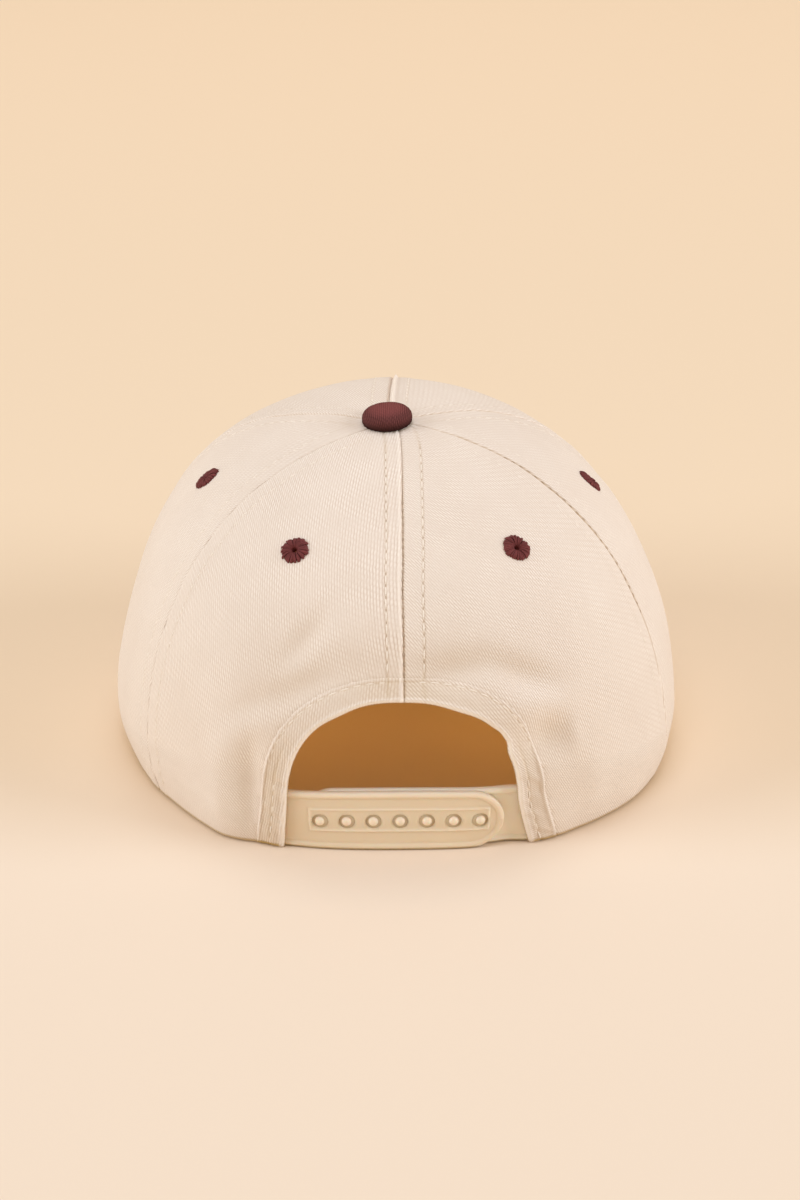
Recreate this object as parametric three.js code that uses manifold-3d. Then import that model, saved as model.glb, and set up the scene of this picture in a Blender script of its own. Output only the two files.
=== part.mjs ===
// A six-panel cotton cap with a snap strap, lying on a flat surface as it rests by itself.
// Millimetres. +Z is up, +Y runs forward to the brim and +X to the right, seen from behind.
// The origin is on that surface, under the middle of the whole cap.
// Azimuths are degrees round the crown from its back, turning towards +X.
import * as THREE from 'three';
import { mergeVertices } from 'three/addons/utils/BufferGeometryUtils.js';
import Module from 'manifold-3d';

const wasm = await Module();
wasm.setup();

// Crown
const CROWN_AXIS_Y = -37;
const CROWN_HEIGHT = 108.5;
const CLOTH = 1.3;
const SEAM_GAP = 0.3;
const APEX_HOLE_RADIUS = 2.6;
const TOP_LEAN = -2.6;
const BACK_SQUARENESS = 2.12;
const FRONT_SQUARENESS = 2;
const RIM_TURN_IN = 1.8;

// The crown's outline towards the back, the sides and the front: its widest radius and the height of
// that, the radius of its rim, and its fullness (2 rounds over as an ellipse, more is squarer).
const PROFILES = {
  back: { widest: 96.9, level: 33.2, rim: 93.6, fullness: 1.84 },
  side: { widest: 93.2, level: 14.6, rim: 89.3, fullness: 2.55 },
  front: { widest: 99.4, level: 49.9, rim: 97, fullness: 2.84 },
};

// The share of a panel's length, from the top, that lies above the widest level.
const DOME_SHARE = 0.7;

// Seams between the panels. sidestep is how far a seam runs beside the line through the crown's top.
const SEAMS = {
  back: { azimuth: -1.2, sidestep: 4.7 },
  rightRear: { azimuth: 66.5, sidestep: 3.4 },
  rightFront: { azimuth: 121, sidestep: 0 },
  front: { azimuth: 178.7, sidestep: 0 },
  leftFront: { azimuth: 245, sidestep: 0 },
  leftRear: { azimuth: 302, sidestep: 0 },
  backAgain: { azimuth: 358.8, sidestep: 4.7 },
};
const SIDESTEP_START = 3;
const PANEL_COLUMNS = 9;
const PANEL_ROWS = 14;

// The panels, with each one's eyelet at an azimuth and a share of the way down. The opening at the
// back cuts two of them.
const PANELS = [
  { place: 'back_right', from: SEAMS.back, to: SEAMS.rightRear, eyelet: [37.9, 0.331], cut: true },
  { place: 'side_right', from: SEAMS.rightRear, to: SEAMS.rightFront, eyelet: [93.2, 0.35] },
  { place: 'front_right', from: SEAMS.rightFront, to: SEAMS.front, eyelet: [149, 0.42] },
  { place: 'front_left', from: SEAMS.front, to: SEAMS.leftFront, eyelet: [211, 0.42] },
  { place: 'side_left', from: SEAMS.leftFront, to: SEAMS.leftRear, eyelet: [275.6, 0.31] },
  { place: 'back_left', from: SEAMS.leftRear, to: SEAMS.backAgain, eyelet: [332.3, 0.319], cut: true },
];

// Swells (depth above 0) and dents of the soft cloth: the middle's azimuth and height, how far it
// reaches along its length and across it, its slant from the horizontal, and its depth.
const FOLDS = [
  { name: 'low left swell', azimuth: -35.5, height: 3, along: 19, across: 18, slant: 0, depth: 2.8 },
  { name: 'low right swell', azimuth: 62, height: 4, along: 36, across: 22, slant: 0, depth: 3 },
  { name: 'left side swell', azimuth: -86, height: 18, along: 22, across: 20, slant: 0, depth: 0.6 },
  { name: 'left side hollow', azimuth: -92, height: 50, along: 30, across: 24, slant: 0, depth: -1.1 },
  { name: 'left top swell', azimuth: -120, height: 84, along: 34, across: 22, slant: 0, depth: 1 },
  { name: 'left dent', azimuth: -21, height: 66, along: 22, across: 9, slant: 42, depth: -1.6 },
  { name: 'left ridge', azimuth: -28, height: 43, along: 20, across: 7, slant: 55, depth: 0.9 },
  { name: 'left valley', azimuth: -31, height: 17, along: 22, across: 6.5, slant: 90, depth: -1.3 },
  { name: 'left outer ridge', azimuth: -37, height: 21, along: 22, across: 6.5, slant: 90, depth: 0.8 },
  { name: 'right dent', azimuth: 18.6, height: 67, along: 20, across: 8, slant: -25, depth: -1.5 },
  { name: 'right lower dent', azimuth: 27, height: 55, along: 16, across: 6.5, slant: -25, depth: -1 },
  { name: 'right shoulder dent', azimuth: 31.5, height: 35, along: 14, across: 8, slant: 90, depth: -1.6 },
];
const MEAN_RADIUS = 93;

// Opening at the back, its two sides measured from the back seam
const ARCH_CENTRE_X = 2.1;
const ARCH_TOP = 54.1;
const ARCH_SHOULDER = 18;
const ARCH_SIDES = {
  left: { direction: -1, width: 36.2, fullness: 2.1, splay: 1.2 },
  right: { direction: 1, width: 36.2, fullness: 2.5, splay: 3.7 },
};
const ARCH_ROUND_SHARE = 0.6;
const ARCH_SPLAY_POWER = 1.15;
const ARCH_STEPS = 10;
const HEM_TOP_WIDTH = 6.8;
const HEM_LEG_WIDTH = 8;
const HEM_PROUD = 0.45;
const HEM_THICKNESS = 2.15;
const CUTTER_REACH = 4;

// Eyelets and top button
const EYELET_RADIUS = 4.7;
const EYELET_BORE = 1.2;
const EYELET_BARREL = 1.8;
const EYELET_RISE = 0.9;
const EYELET_CLEARANCE = 0.42;
const EYELET_SLEEVE = 1.7;
const BUTTON_RADIUS = 8.2;
const BUTTON_RISE = 5;
const BUTTON_SEAT = 1;
const BUTTON_TILT = 4;
const BUTTON_STEM = 2;
const BUTTON_STEM_LENGTH = 2.3;

// Snap strap: two bands, one with holes over one with pegs
const STRAP_HEIGHT = 20.5;
const STRAP_THICKNESS = 1.8;
const STRAP_GAP = 0.3;
const STRAP_TAIL_INSET = 2;
// The bands lie inside the cloth, so a place on them is behind a place that much further out on it.
const STRAP_SPREAD = 1 + STRAP_TAIL_INSET / MEAN_RADIUS;
const STRAP_MIDDLE_Y = -89.3;
const STRAP_MIDDLE_X = -2;
const STRAP_BOW_RADIUS = 150;
const STRAP_FREE_AZIMUTH = 24;
const STRAP_TIP_RIGHT = 34.2;
const STRAP_TIP_LEFT = -30;
const STRAP_TAIL_LEFT = -50;
const STRAP_TAIL_RIGHT = 56;
const STRAP_COLUMNS = 25;
const STRAP_STRAIGHT_SHARE = 0.76;
const STRAP_ROUND_DEGREES = 80;
const STRAP_JOINS_CLOTH = [21.8, 28];
const SNAP_COUNT = 7;
const SNAP_PITCH = 8.43;
const SNAP_MIDDLE_X = 1.5;
const SNAP_HOLE_RADIUS = 2.1;
const PEG_RADIUS = 1.7;
const PEG_PROUD = 0.5;
const ROUND_SIDES = 12;

// Brim
const BRIM_THICKNESS = 3;
const BRIM_ARCH = 14;
const BRIM_HALF_WIDTH = 87;
const BRIM_REACH = 167.6;
const BRIM_CORNER_Y = 30;
const BRIM_CORNER_DRAW = 2.5;
const BRIM_CORNER_RUN = 12;
const BRIM_ROUNDNESS = 2.4;
const BRIM_NOSE_DROP = 0.15;
const BRIM_FLAT_FROM = 78;
const BRIM_FIRST_AZIMUTH = 110;
const BRIM_TUCK = 1.8;
const BRIM_SEAT_GAP = 0.35;
const BRIM_COLUMNS = 26;
const BRIM_ROWS = 6;
const BRIM_EDGE_SHARPNESS = 32;
const RIM_LIFT_FROM = 88;

const CREAM = 0xefddce;
const RAISIN = 0x5f3230;
const PLASTIC = 0xd7b892;

const clamp = THREE.MathUtils.clamp;
const lerp = THREE.MathUtils.lerp;
const radians = THREE.MathUtils.degToRad;
const degrees = THREE.MathUtils.radToDeg;
const smoothstep = THREE.MathUtils.smoothstep;
const signedPower = (value, power) => Math.sign(value) * Math.abs(value) ** power;

// Brim sheet, measured from the crown's axis

// The side edge draws in where the brim meets the crown's side.
function brimHalfWidthAt(y) {
  const beyond = Math.max(0, y - BRIM_CORNER_Y);
  const forward = Math.min(1, beyond / (BRIM_REACH - BRIM_CORNER_Y));
  const full = BRIM_HALF_WIDTH * (1 - forward ** BRIM_ROUNDNESS) ** (1 / BRIM_ROUNDNESS);
  return Math.max(0, full - BRIM_CORNER_DRAW * Math.exp(-beyond / BRIM_CORNER_RUN));
}

// The underside arches from one side edge, which lies on the surface, to the other.
function brimUnderside(x, y) {
  const power = BRIM_EDGE_SHARPNESS;
  const edge = (brimHalfWidthAt(y) ** power + BRIM_FLAT_FROM ** power) ** (1 / power);
  const forward = Math.max(0, (y - BRIM_CORNER_Y) / (BRIM_REACH - BRIM_CORNER_Y));
  return BRIM_ARCH * Math.max(0, 1 - (x / edge) ** 2) * (1 - BRIM_NOSE_DROP * forward);
}

// Crown surface

function profileAt(profile, along) {
  const dome = Math.min(along / DOME_SHARE, 1) * Math.PI / 2;
  const below = Math.max(0, (along - DOME_SHARE) / (1 - DOME_SHARE));
  return {
    radius: profile.widest * Math.sin(dome) - (profile.widest - profile.rim) * below ** RIM_TURN_IN,
    height: profile.level
      + (CROWN_HEIGHT - profile.level) * Math.sqrt(Math.max(0, 1 - Math.sin(dome) ** profile.fullness)),
    below,
  };
}

function turnFromBack(azimuth) {
  return Math.abs(((azimuth + 180) % 360 + 360) % 360 - 180);
}

// The rim lies on the surface at the back and sides and climbs over the brim at the front.
function rimHeight(azimuth) {
  const turn = turnFromBack(azimuth);
  if (turn <= RIM_LIFT_FROM) {
    return 0;
  }
  const x = (PROFILES.side.rim - CLOTH) * Math.sin(radians(turn));
  const y = (CLOTH - PROFILES.front.rim) * Math.cos(radians(turn));
  const seat = brimUnderside(x, y) + BRIM_THICKNESS + BRIM_SEAT_GAP;
  return seat * smoothstep(turn, RIM_LIFT_FROM, BRIM_FIRST_AZIMUTH - 1);
}

// A point of the smooth crown; along runs from 0 at the top to 1 at the rim.
function crownPoint(azimuth, along) {
  const forward = -Math.cos(radians(azimuth));
  const sideways = Math.sin(radians(azimuth));
  const ahead = forward > 0;
  const side = profileAt(PROFILES.side, along);
  const end = profileAt(ahead ? PROFILES.front : PROFILES.back, along);
  const power = 2 / (ahead ? FRONT_SQUARENESS : BACK_SQUARENESS);
  const level = lerp(side.height, end.height, forward ** 2);
  const height = lerp(level, rimHeight(azimuth), side.below);
  const lean = TOP_LEAN * clamp(height / CROWN_HEIGHT, 0, 1) ** 2;
  return new THREE.Vector3(
    side.radius * signedPower(sideways, power) + lean,
    end.radius * signedPower(forward, power),
    height,
  );
}

// The outward direction, which turns level towards the rim so that the rim's edge is flat.
function crownNormal(azimuth, along) {
  const step = 0.002;
  const inner = clamp(along, 0.02, 1 - step);
  const down = crownPoint(azimuth, inner + step).sub(crownPoint(azimuth, inner - step));
  const round = crownPoint(azimuth + 0.2, inner).sub(crownPoint(azimuth - 0.2, inner));
  const normal = down.cross(round).normalize();
  const below = Math.max(0, (along - DOME_SHARE) / (1 - DOME_SHARE));
  normal.z *= 1 - below ** 2;
  return normal.normalize();
}

function foldDepth(azimuth, height) {
  let depth = 0;
  for (const fold of FOLDS) {
    const turn = ((azimuth - fold.azimuth + 180) % 360 + 360) % 360 - 180;
    const level = radians(turn) * MEAN_RADIUS;
    const rise = height - fold.height;
    const cos = Math.cos(radians(fold.slant));
    const sin = Math.sin(radians(fold.slant));
    const lengthways = (level * cos + rise * sin) / fold.along;
    const crossways = (rise * cos - level * sin) / fold.across;
    depth += fold.depth * Math.exp(-(lengthways ** 2) - crossways ** 2);
  }
  return depth;
}

// A point of the cloth, outset from the face that is seen (below 0 is inside the cap).
function clothPoint(azimuth, along, outset) {
  const point = crownPoint(azimuth, along);
  const distance = outset + foldDepth(azimuth, point.z);
  return point.addScaledVector(crownNormal(azimuth, along), distance);
}

// The share of the way down at which the crown has this height.
function alongAtHeight(azimuth, height) {
  let above = 0;
  let below = 1;
  for (let halving = 0; halving < 24; halving++) {
    const middle = (above + below) / 2;
    if (crownPoint(azimuth, middle).z > height) {
      above = middle;
    } else {
      below = middle;
    }
  }
  return (above + below) / 2;
}

// The place on the crown's back that has this X and this height.
function placeOnBack(x, height) {
  let azimuth = degrees(Math.asin(x / MEAN_RADIUS));
  let along = 1;
  for (let pass = 0; pass < 8; pass++) {
    along = alongAtHeight(azimuth, height);
    azimuth += degrees((x - crownPoint(azimuth, along).x) / MEAN_RADIUS);
  }
  return { azimuth, along };
}

function seamAzimuth(seam, along) {
  const radius = profileAt(PROFILES.side, along).radius;
  return seam.azimuth + degrees(seam.sidestep * radius / (radius ** 2 + SIDESTEP_START ** 2));
}

// Solids

// A closed sheet with a thickness. pointAt(u, v, face) gives the outer face as 0 and the inner as 1.
function sheetGeometry(columns, rows, pointAt) {
  const positions = [];
  for (const face of [0, 1]) {
    for (let row = 0; row <= rows; row++) {
      for (let column = 0; column <= columns; column++) {
        positions.push(...pointAt(column / columns, row / rows, face).toArray());
      }
    }
  }
  const faceSize = (columns + 1) * (rows + 1);
  const vertex = (face, column, row) => face * faceSize + row * (columns + 1) + column;
  const index = [];
  const quad = (a, b, c, d) => index.push(a, b, c, a, c, d);
  for (let row = 0; row < rows; row++) {
    for (let column = 0; column < columns; column++) {
      quad(vertex(0, column, row), vertex(0, column, row + 1),
        vertex(0, column + 1, row + 1), vertex(0, column + 1, row));
      quad(vertex(1, column, row), vertex(1, column + 1, row),
        vertex(1, column + 1, row + 1), vertex(1, column, row + 1));
    }
  }
  for (let row = 0; row < rows; row++) {
    quad(vertex(0, 0, row), vertex(1, 0, row), vertex(1, 0, row + 1), vertex(0, 0, row + 1));
    quad(vertex(0, columns, row + 1), vertex(1, columns, row + 1),
      vertex(1, columns, row), vertex(0, columns, row));
  }
  for (let column = 0; column < columns; column++) {
    quad(vertex(0, column + 1, 0), vertex(1, column + 1, 0), vertex(1, column, 0), vertex(0, column, 0));
    quad(vertex(0, column, rows), vertex(1, column, rows),
      vertex(1, column + 1, rows), vertex(0, column + 1, rows));
  }
  const geometry = new THREE.BufferGeometry();
  geometry.setAttribute('position', new THREE.Float32BufferAttribute(positions, 3));
  geometry.setIndex(index);
  return geometry;
}

function solidOf(geometry) {
  const bare = new THREE.BufferGeometry();
  bare.setAttribute('position', geometry.getAttribute('position').clone());
  bare.setIndex(geometry.getIndex());
  const merged = mergeVertices(bare, 1e-4);
  return new wasm.Manifold(new wasm.Mesh({
    numProp: 3,
    vertProperties: merged.getAttribute('position').array,
    triVerts: Uint32Array.from(merged.getIndex().array),
  }));
}

function geometryOf(solid) {
  const mesh = solid.getMesh();
  const geometry = new THREE.BufferGeometry();
  geometry.setAttribute('position', new THREE.BufferAttribute(mesh.vertProperties, 3));
  geometry.setIndex(new THREE.BufferAttribute(mesh.triVerts, 1));
  return geometry;
}

// Turns a shape whose axis is +Y so that it points along a direction, and sets it at a place.
function setAlong(geometry, place, direction) {
  const turn = new THREE.Quaternion().setFromUnitVectors(new THREE.Vector3(0, 1, 0), direction);
  return geometry.applyQuaternion(turn).translate(place.x, place.y, place.z);
}

function pinAt(place, direction, radius, length, sides) {
  return solidOf(setAlong(new THREE.CylinderGeometry(radius, radius, length, sides), place, direction));
}

// Opening hem

// A point of the opening's edge, or of a line beside it, as X and height. t runs from 0 at the top
// to 1 at the foot of one side.
function archPoint(side, t) {
  const round = Math.min(t / ARCH_ROUND_SHARE, 1) * Math.PI / 2;
  const leg = Math.max(0, (t - ARCH_ROUND_SHARE) / (1 - ARCH_ROUND_SHARE));
  const power = 2 / side.fullness;
  const reach = side.width * Math.sin(round) ** power + side.splay * leg ** ARCH_SPLAY_POWER;
  const rise = (ARCH_TOP - ARCH_SHOULDER) * Math.max(0, Math.cos(round)) ** power;
  return new THREE.Vector2(
    ARCH_CENTRE_X + side.direction * reach,
    rise + ARCH_SHOULDER * (1 - leg),
  );
}

function hemWidth(t) {
  return lerp(HEM_TOP_WIDTH, HEM_LEG_WIDTH, Math.min(1, t / ARCH_ROUND_SHARE));
}

function besideArch(side, t, outset) {
  const step = 0.004;
  const before = archPoint(side, Math.max(0, t - step));
  const after = archPoint(side, Math.min(1, t + step));
  const run = after.sub(before).normalize();
  const away = new THREE.Vector2(-run.y * side.direction, run.x * side.direction);
  const leg = Math.max(0, (t - ARCH_ROUND_SHARE) / (1 - ARCH_ROUND_SHARE));
  const level = new THREE.Vector2(side.direction, 0);
  const upright = new THREE.Vector2(0, 1);
  away.lerp(level, leg).lerp(upright, Math.max(0, 1 - t / 0.06)).normalize();
  return archPoint(side, t).addScaledVector(away, outset);
}

function makeHem() {
  return sheetGeometry(2 * ARCH_STEPS, 2, (u, v, face) => {
    const side = u < 0.5 ? ARCH_SIDES.left : ARCH_SIDES.right;
    const t = Math.abs(u - 0.5) * 2;
    const flat = besideArch(side, t, hemWidth(t) * (1 - v));
    const place = placeOnBack(flat.x, flat.y);
    const outset = HEM_PROUD - face * HEM_THICKNESS;
    return clothPoint(place.azimuth, place.along, outset);
  });
}

// What the opening and its hem take out of the back panels
function makeOpeningCutter() {
  const columns = 2 * ARCH_STEPS + 2;
  const underHem = sheetGeometry(columns, 2, (u, v, face) => {
    const step = clamp(Math.round(u * columns) - 1, 0, 2 * ARCH_STEPS);
    const side = step < ARCH_STEPS ? ARCH_SIDES.left : ARCH_SIDES.right;
    const t = Math.abs(step / ARCH_STEPS - 1);
    const flat = besideArch(side, t, (hemWidth(t) + SEAM_GAP) * (1 - v));
    const place = placeOnBack(flat.x, flat.y);
    const point = clothPoint(place.azimuth, place.along, CUTTER_REACH * (1 - 2 * face));
    point.z -= u === 0 || u === 1 ? CUTTER_REACH : 0;
    return point;
  });
  const outline = new THREE.Shape();
  const corner = (side, t) => besideArch(side, t, HEM_TOP_WIDTH / 2);
  const foot = (side) => corner(side, 1).setY(-CUTTER_REACH);
  outline.moveTo(foot(ARCH_SIDES.left).x, -CUTTER_REACH);
  for (const side of [ARCH_SIDES.left, ARCH_SIDES.right]) {
    for (let step = 0; step < ARCH_STEPS; step++) {
      const t = side.direction > 0 ? step / ARCH_STEPS : 1 - step / ARCH_STEPS;
      outline.lineTo(...corner(side, t).toArray());
    }
  }
  outline.lineTo(...corner(ARCH_SIDES.right, 1).toArray());
  outline.lineTo(foot(ARCH_SIDES.right).x, -CUTTER_REACH);
  const inside = new THREE.ExtrudeGeometry(outline, { depth: MEAN_RADIUS, bevelEnabled: false });
  inside.rotateX(Math.PI / 2).translate(0, -MEAN_RADIUS / 2, 0);
  return solidOf(underHem).add(solidOf(inside));
}

// Panels

function makePanel(panel) {
  const columns = panel.cut ? PANEL_COLUMNS + 2 : PANEL_COLUMNS;
  const top = DOME_SHARE * Math.asin(APEX_HOLE_RADIUS / PROFILES.side.widest) / (Math.PI / 2);
  const cloth = sheetGeometry(columns, PANEL_ROWS, (u, v, face) => {
    const along = lerp(top, 1, v);
    const gap = degrees(SEAM_GAP / 2 / profileAt(PROFILES.side, along).radius);
    const from = seamAzimuth(panel.from, along) + gap;
    const to = seamAzimuth(panel.to, along) - gap;
    return clothPoint(lerp(from, to, u), along, -face * CLOTH);
  });
  const hole = pinAt(
    clothPoint(...panel.eyelet, 0),
    crownNormal(...panel.eyelet),
    EYELET_BARREL + SEAM_GAP,
    4 * CLOTH,
    ROUND_SIDES,
  );
  const pierced = solidOf(cloth).subtract(hole);
  return geometryOf(panel.cut ? pierced.subtract(makeOpeningCutter()) : pierced);
}

// A stitched ring round a vent hole, with a short sleeve through the cloth.
function makeEyelet(panel) {
  const seat = EYELET_CLEARANCE;
  const profile = [
    [EYELET_BORE, -EYELET_SLEEVE],
    [EYELET_BARREL, -EYELET_SLEEVE],
    [EYELET_BARREL, seat],
    [EYELET_RADIUS, seat],
    [EYELET_RADIUS * 0.88, seat + EYELET_RISE * 0.7],
    [EYELET_RADIUS * 0.6, seat + EYELET_RISE],
    [EYELET_BORE, seat + EYELET_RISE * 0.5],
    [EYELET_BORE, -EYELET_SLEEVE],
  ].map(([radius, height]) => new THREE.Vector2(radius, height));
  return setAlong(
    new THREE.LatheGeometry(profile, ROUND_SIDES),
    clothPoint(...panel.eyelet, 0),
    crownNormal(...panel.eyelet),
  );
}

// A cloth-covered button over the point where the panels meet, with its stem through them.
function makeButton() {
  const rise = BUTTON_RISE;
  const profile = [
    [0, -BUTTON_STEM_LENGTH],
    [BUTTON_STEM, -BUTTON_STEM_LENGTH],
    [BUTTON_STEM, BUTTON_SEAT],
    [BUTTON_RADIUS * 0.88, BUTTON_SEAT],
    [BUTTON_RADIUS, BUTTON_SEAT + rise * 0.22],
    [BUTTON_RADIUS * 0.985, BUTTON_SEAT + rise * 0.42],
    [BUTTON_RADIUS * 0.86, BUTTON_SEAT + rise * 0.7],
    [BUTTON_RADIUS * 0.55, BUTTON_SEAT + rise * 0.93],
    [0, BUTTON_SEAT + rise],
  ].map(([radius, height]) => new THREE.Vector2(radius, height));
  const tilt = radians(BUTTON_TILT);
  return geometryOf(solidOf(setAlong(
    new THREE.LatheGeometry(profile, 2 * ROUND_SIDES),
    new THREE.Vector3(TOP_LEAN, 0, CROWN_HEIGHT),
    new THREE.Vector3(-Math.sin(tilt), 0, Math.cos(tilt)),
  )));
}

// Snap strap

// Both bands follow the inside of the crown at their tails and pull straighter between them.
function strapPoint(azimuth, height, depth) {
  const along = alongAtHeight(azimuth, height);
  const tail = clothPoint(azimuth, along, -STRAP_TAIL_INSET - depth);
  const bow = (tail.x - STRAP_MIDDLE_X) ** 2 / (2 * STRAP_BOW_RADIUS);
  const free = new THREE.Vector3(tail.x, STRAP_MIDDLE_Y + bow + depth, height);
  const freedom = Math.max(0, 1 - (azimuth / STRAP_FREE_AZIMUTH) ** 2) ** 1.5;
  return tail.lerp(free, freedom);
}

// A band from its tail to its round tip. direction is 1 when the tip points towards +X.
function makeBand(tailX, tipX, direction, depthAt) {
  const radius = STRAP_HEIGHT / 2;
  const roundStart = tipX - direction * radius;
  return sheetGeometry(STRAP_COLUMNS, 2, (u, v, face) => {
    const run = direction > 0 ? u : 1 - u;
    const round = Math.max(0, (run - STRAP_STRAIGHT_SHARE) / (1 - STRAP_STRAIGHT_SHARE));
    const turn = radians(STRAP_ROUND_DEGREES * round);
    const straight = lerp(tailX, roundStart, Math.min(1, run / STRAP_STRAIGHT_SHARE));
    const x = straight + direction * radius * Math.sin(turn);
    const height = radius + radius * Math.cos(turn) * (1 - 2 * v);
    const azimuth = placeOnBack(x * STRAP_SPREAD, radius).azimuth;
    return strapPoint(azimuth, height, depthAt(azimuth) + face * STRAP_THICKNESS);
  });
}

function snapPlaces() {
  const places = [];
  for (let snap = 0; snap < SNAP_COUNT; snap++) {
    const x = SNAP_MIDDLE_X + (snap - (SNAP_COUNT - 1) / 2) * SNAP_PITCH;
    const azimuth = placeOnBack(x * STRAP_SPREAD, STRAP_HEIGHT / 2).azimuth;
    const face = strapPoint(azimuth, STRAP_HEIGHT / 2, 0);
    const outward = face.clone().sub(strapPoint(azimuth, STRAP_HEIGHT / 2, 1)).normalize();
    places.push({ face, outward });
  }
  return places;
}

function makeOuterStrap() {
  const band = makeBand(STRAP_TAIL_LEFT, STRAP_TIP_RIGHT, 1, () => 0);
  let solid = solidOf(band);
  for (const { face, outward } of snapPlaces()) {
    solid = solid.subtract(pinAt(face, outward, SNAP_HOLE_RADIUS, 3 * STRAP_THICKNESS, ROUND_SIDES));
  }
  return geometryOf(solid);
}

function makeInnerStrap() {
  const behind = STRAP_THICKNESS + STRAP_GAP;
  const depthAt = (azimuth) => behind * (1 - smoothstep(azimuth, ...STRAP_JOINS_CLOTH));
  let solid = solidOf(makeBand(STRAP_TAIL_RIGHT, STRAP_TIP_LEFT, -1, depthAt));
  const length = PEG_PROUD + behind + STRAP_THICKNESS / 2;
  for (const { face, outward } of snapPlaces()) {
    const middle = face.clone().addScaledVector(outward, PEG_PROUD - length / 2);
    solid = solid.add(pinAt(middle, outward, PEG_RADIUS, length, ROUND_SIDES));
  }
  return geometryOf(solid);
}

// Brim

function makeBrim() {
  const lastAzimuth = 360 - BRIM_FIRST_AZIMUTH;
  return sheetGeometry(BRIM_COLUMNS, BRIM_ROWS, (u, v, face) => {
    const azimuth = lerp(BRIM_FIRST_AZIMUTH, lastAzimuth, u);
    const root = crownPoint(azimuth, 1);
    root.addScaledVector(crownNormal(azimuth, 1), -BRIM_TUCK);
    const turn = (0.5 - u) * Math.PI;
    const forward = Math.max(0, Math.cos(turn)) ** (2 / BRIM_ROUNDNESS);
    const edgeY = lerp(BRIM_CORNER_Y, BRIM_REACH, forward);
    const edgeX = Math.sign(turn) * brimHalfWidthAt(edgeY);
    const x = lerp(root.x, edgeX, v);
    const y = lerp(root.y, edgeY, v);
    const underside = brimUnderside(x, y);
    return new THREE.Vector3(x, y, underside + (face === 0 ? BRIM_THICKNESS : 0));
  });
}

// Assembly

const cap = new THREE.Group();
cap.position.set(0, CROWN_AXIS_Y, 0);

const finishes = {
  cloth: { color: CREAM, roughness: 0.9, metalness: 0 },
  trim: { color: RAISIN, roughness: 0.85, metalness: 0 },
  plastic: { color: PLASTIC, roughness: 0.45, metalness: 0 },
};

function addPiece(name, geometry, finish) {
  const mesh = new THREE.Mesh(geometry, new THREE.MeshStandardMaterial(finishes[finish]));
  mesh.name = name;
  cap.add(mesh);
}

for (const panel of PANELS) {
  addPiece(`panel_${panel.place}`, makePanel(panel), 'cloth');
  addPiece(`eyelet_${panel.place}`, makeEyelet(panel), 'trim');
}
addPiece('opening_hem', makeHem(), 'cloth');
addPiece('top_button', makeButton(), 'trim');
addPiece('brim', makeBrim(), 'trim');
addPiece('strap_outer', makeOuterStrap(), 'plastic');
addPiece('strap_inner', makeInnerStrap(), 'plastic');

export default cap;
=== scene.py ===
"""Looks for a six-panel cotton cap with a snap strap, lying on a pale surface and seen from behind.

Shapes are worked out in millimetres round the crown's axis, as in the part's source, and become
metres when a mesh is made. Azimuths are degrees round the crown from its back, towards +X.
"""

import itertools
import math

import bmesh
import bpy
import numpy as np
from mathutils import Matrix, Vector


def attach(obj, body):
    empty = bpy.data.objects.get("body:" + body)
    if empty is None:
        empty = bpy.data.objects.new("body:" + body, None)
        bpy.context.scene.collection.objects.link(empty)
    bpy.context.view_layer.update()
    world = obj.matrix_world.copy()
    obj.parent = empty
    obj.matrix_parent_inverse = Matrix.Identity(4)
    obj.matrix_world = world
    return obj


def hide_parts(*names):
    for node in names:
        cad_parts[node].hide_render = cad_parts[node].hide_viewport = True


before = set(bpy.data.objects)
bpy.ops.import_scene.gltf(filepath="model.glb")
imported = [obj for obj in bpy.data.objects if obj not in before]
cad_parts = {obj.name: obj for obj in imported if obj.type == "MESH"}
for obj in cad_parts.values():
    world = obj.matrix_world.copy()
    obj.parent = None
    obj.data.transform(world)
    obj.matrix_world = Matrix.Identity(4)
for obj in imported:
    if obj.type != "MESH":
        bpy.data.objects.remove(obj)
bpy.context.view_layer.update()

MM = 0.001
WELD_DISTANCE = 1e-6
SEEDS = {"seam": 11, "pucker": (20, 21), "wrinkle": 31, "hem": 32, "button": 40, "brim": 50, "eyelet": 60}

# Crown
CROWN_AXIS_Y = -37
CROWN_HEIGHT = 108.5
CLOTH = 1.3
SEAM_GAP = 0.1
APEX_HOLE_RADIUS = 2.6
TOP_LEAN = -2.6
BACK_SQUARENESS = 2.12
FRONT_SQUARENESS = 2
RIM_TURN_IN = 1.8
PROFILES = {
    "back": {"widest": 96.9, "level": 33.2, "rim": 93.6, "fullness": 1.84},
    "side": {"widest": 93.2, "level": 14.6, "rim": 89.3, "fullness": 2.55},
    "front": {"widest": 99.4, "level": 49.9, "rim": 97, "fullness": 2.84},
}
DOME_SHARE = 0.7
MEAN_RADIUS = 93
MEAN_LENGTH = 168

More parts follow.
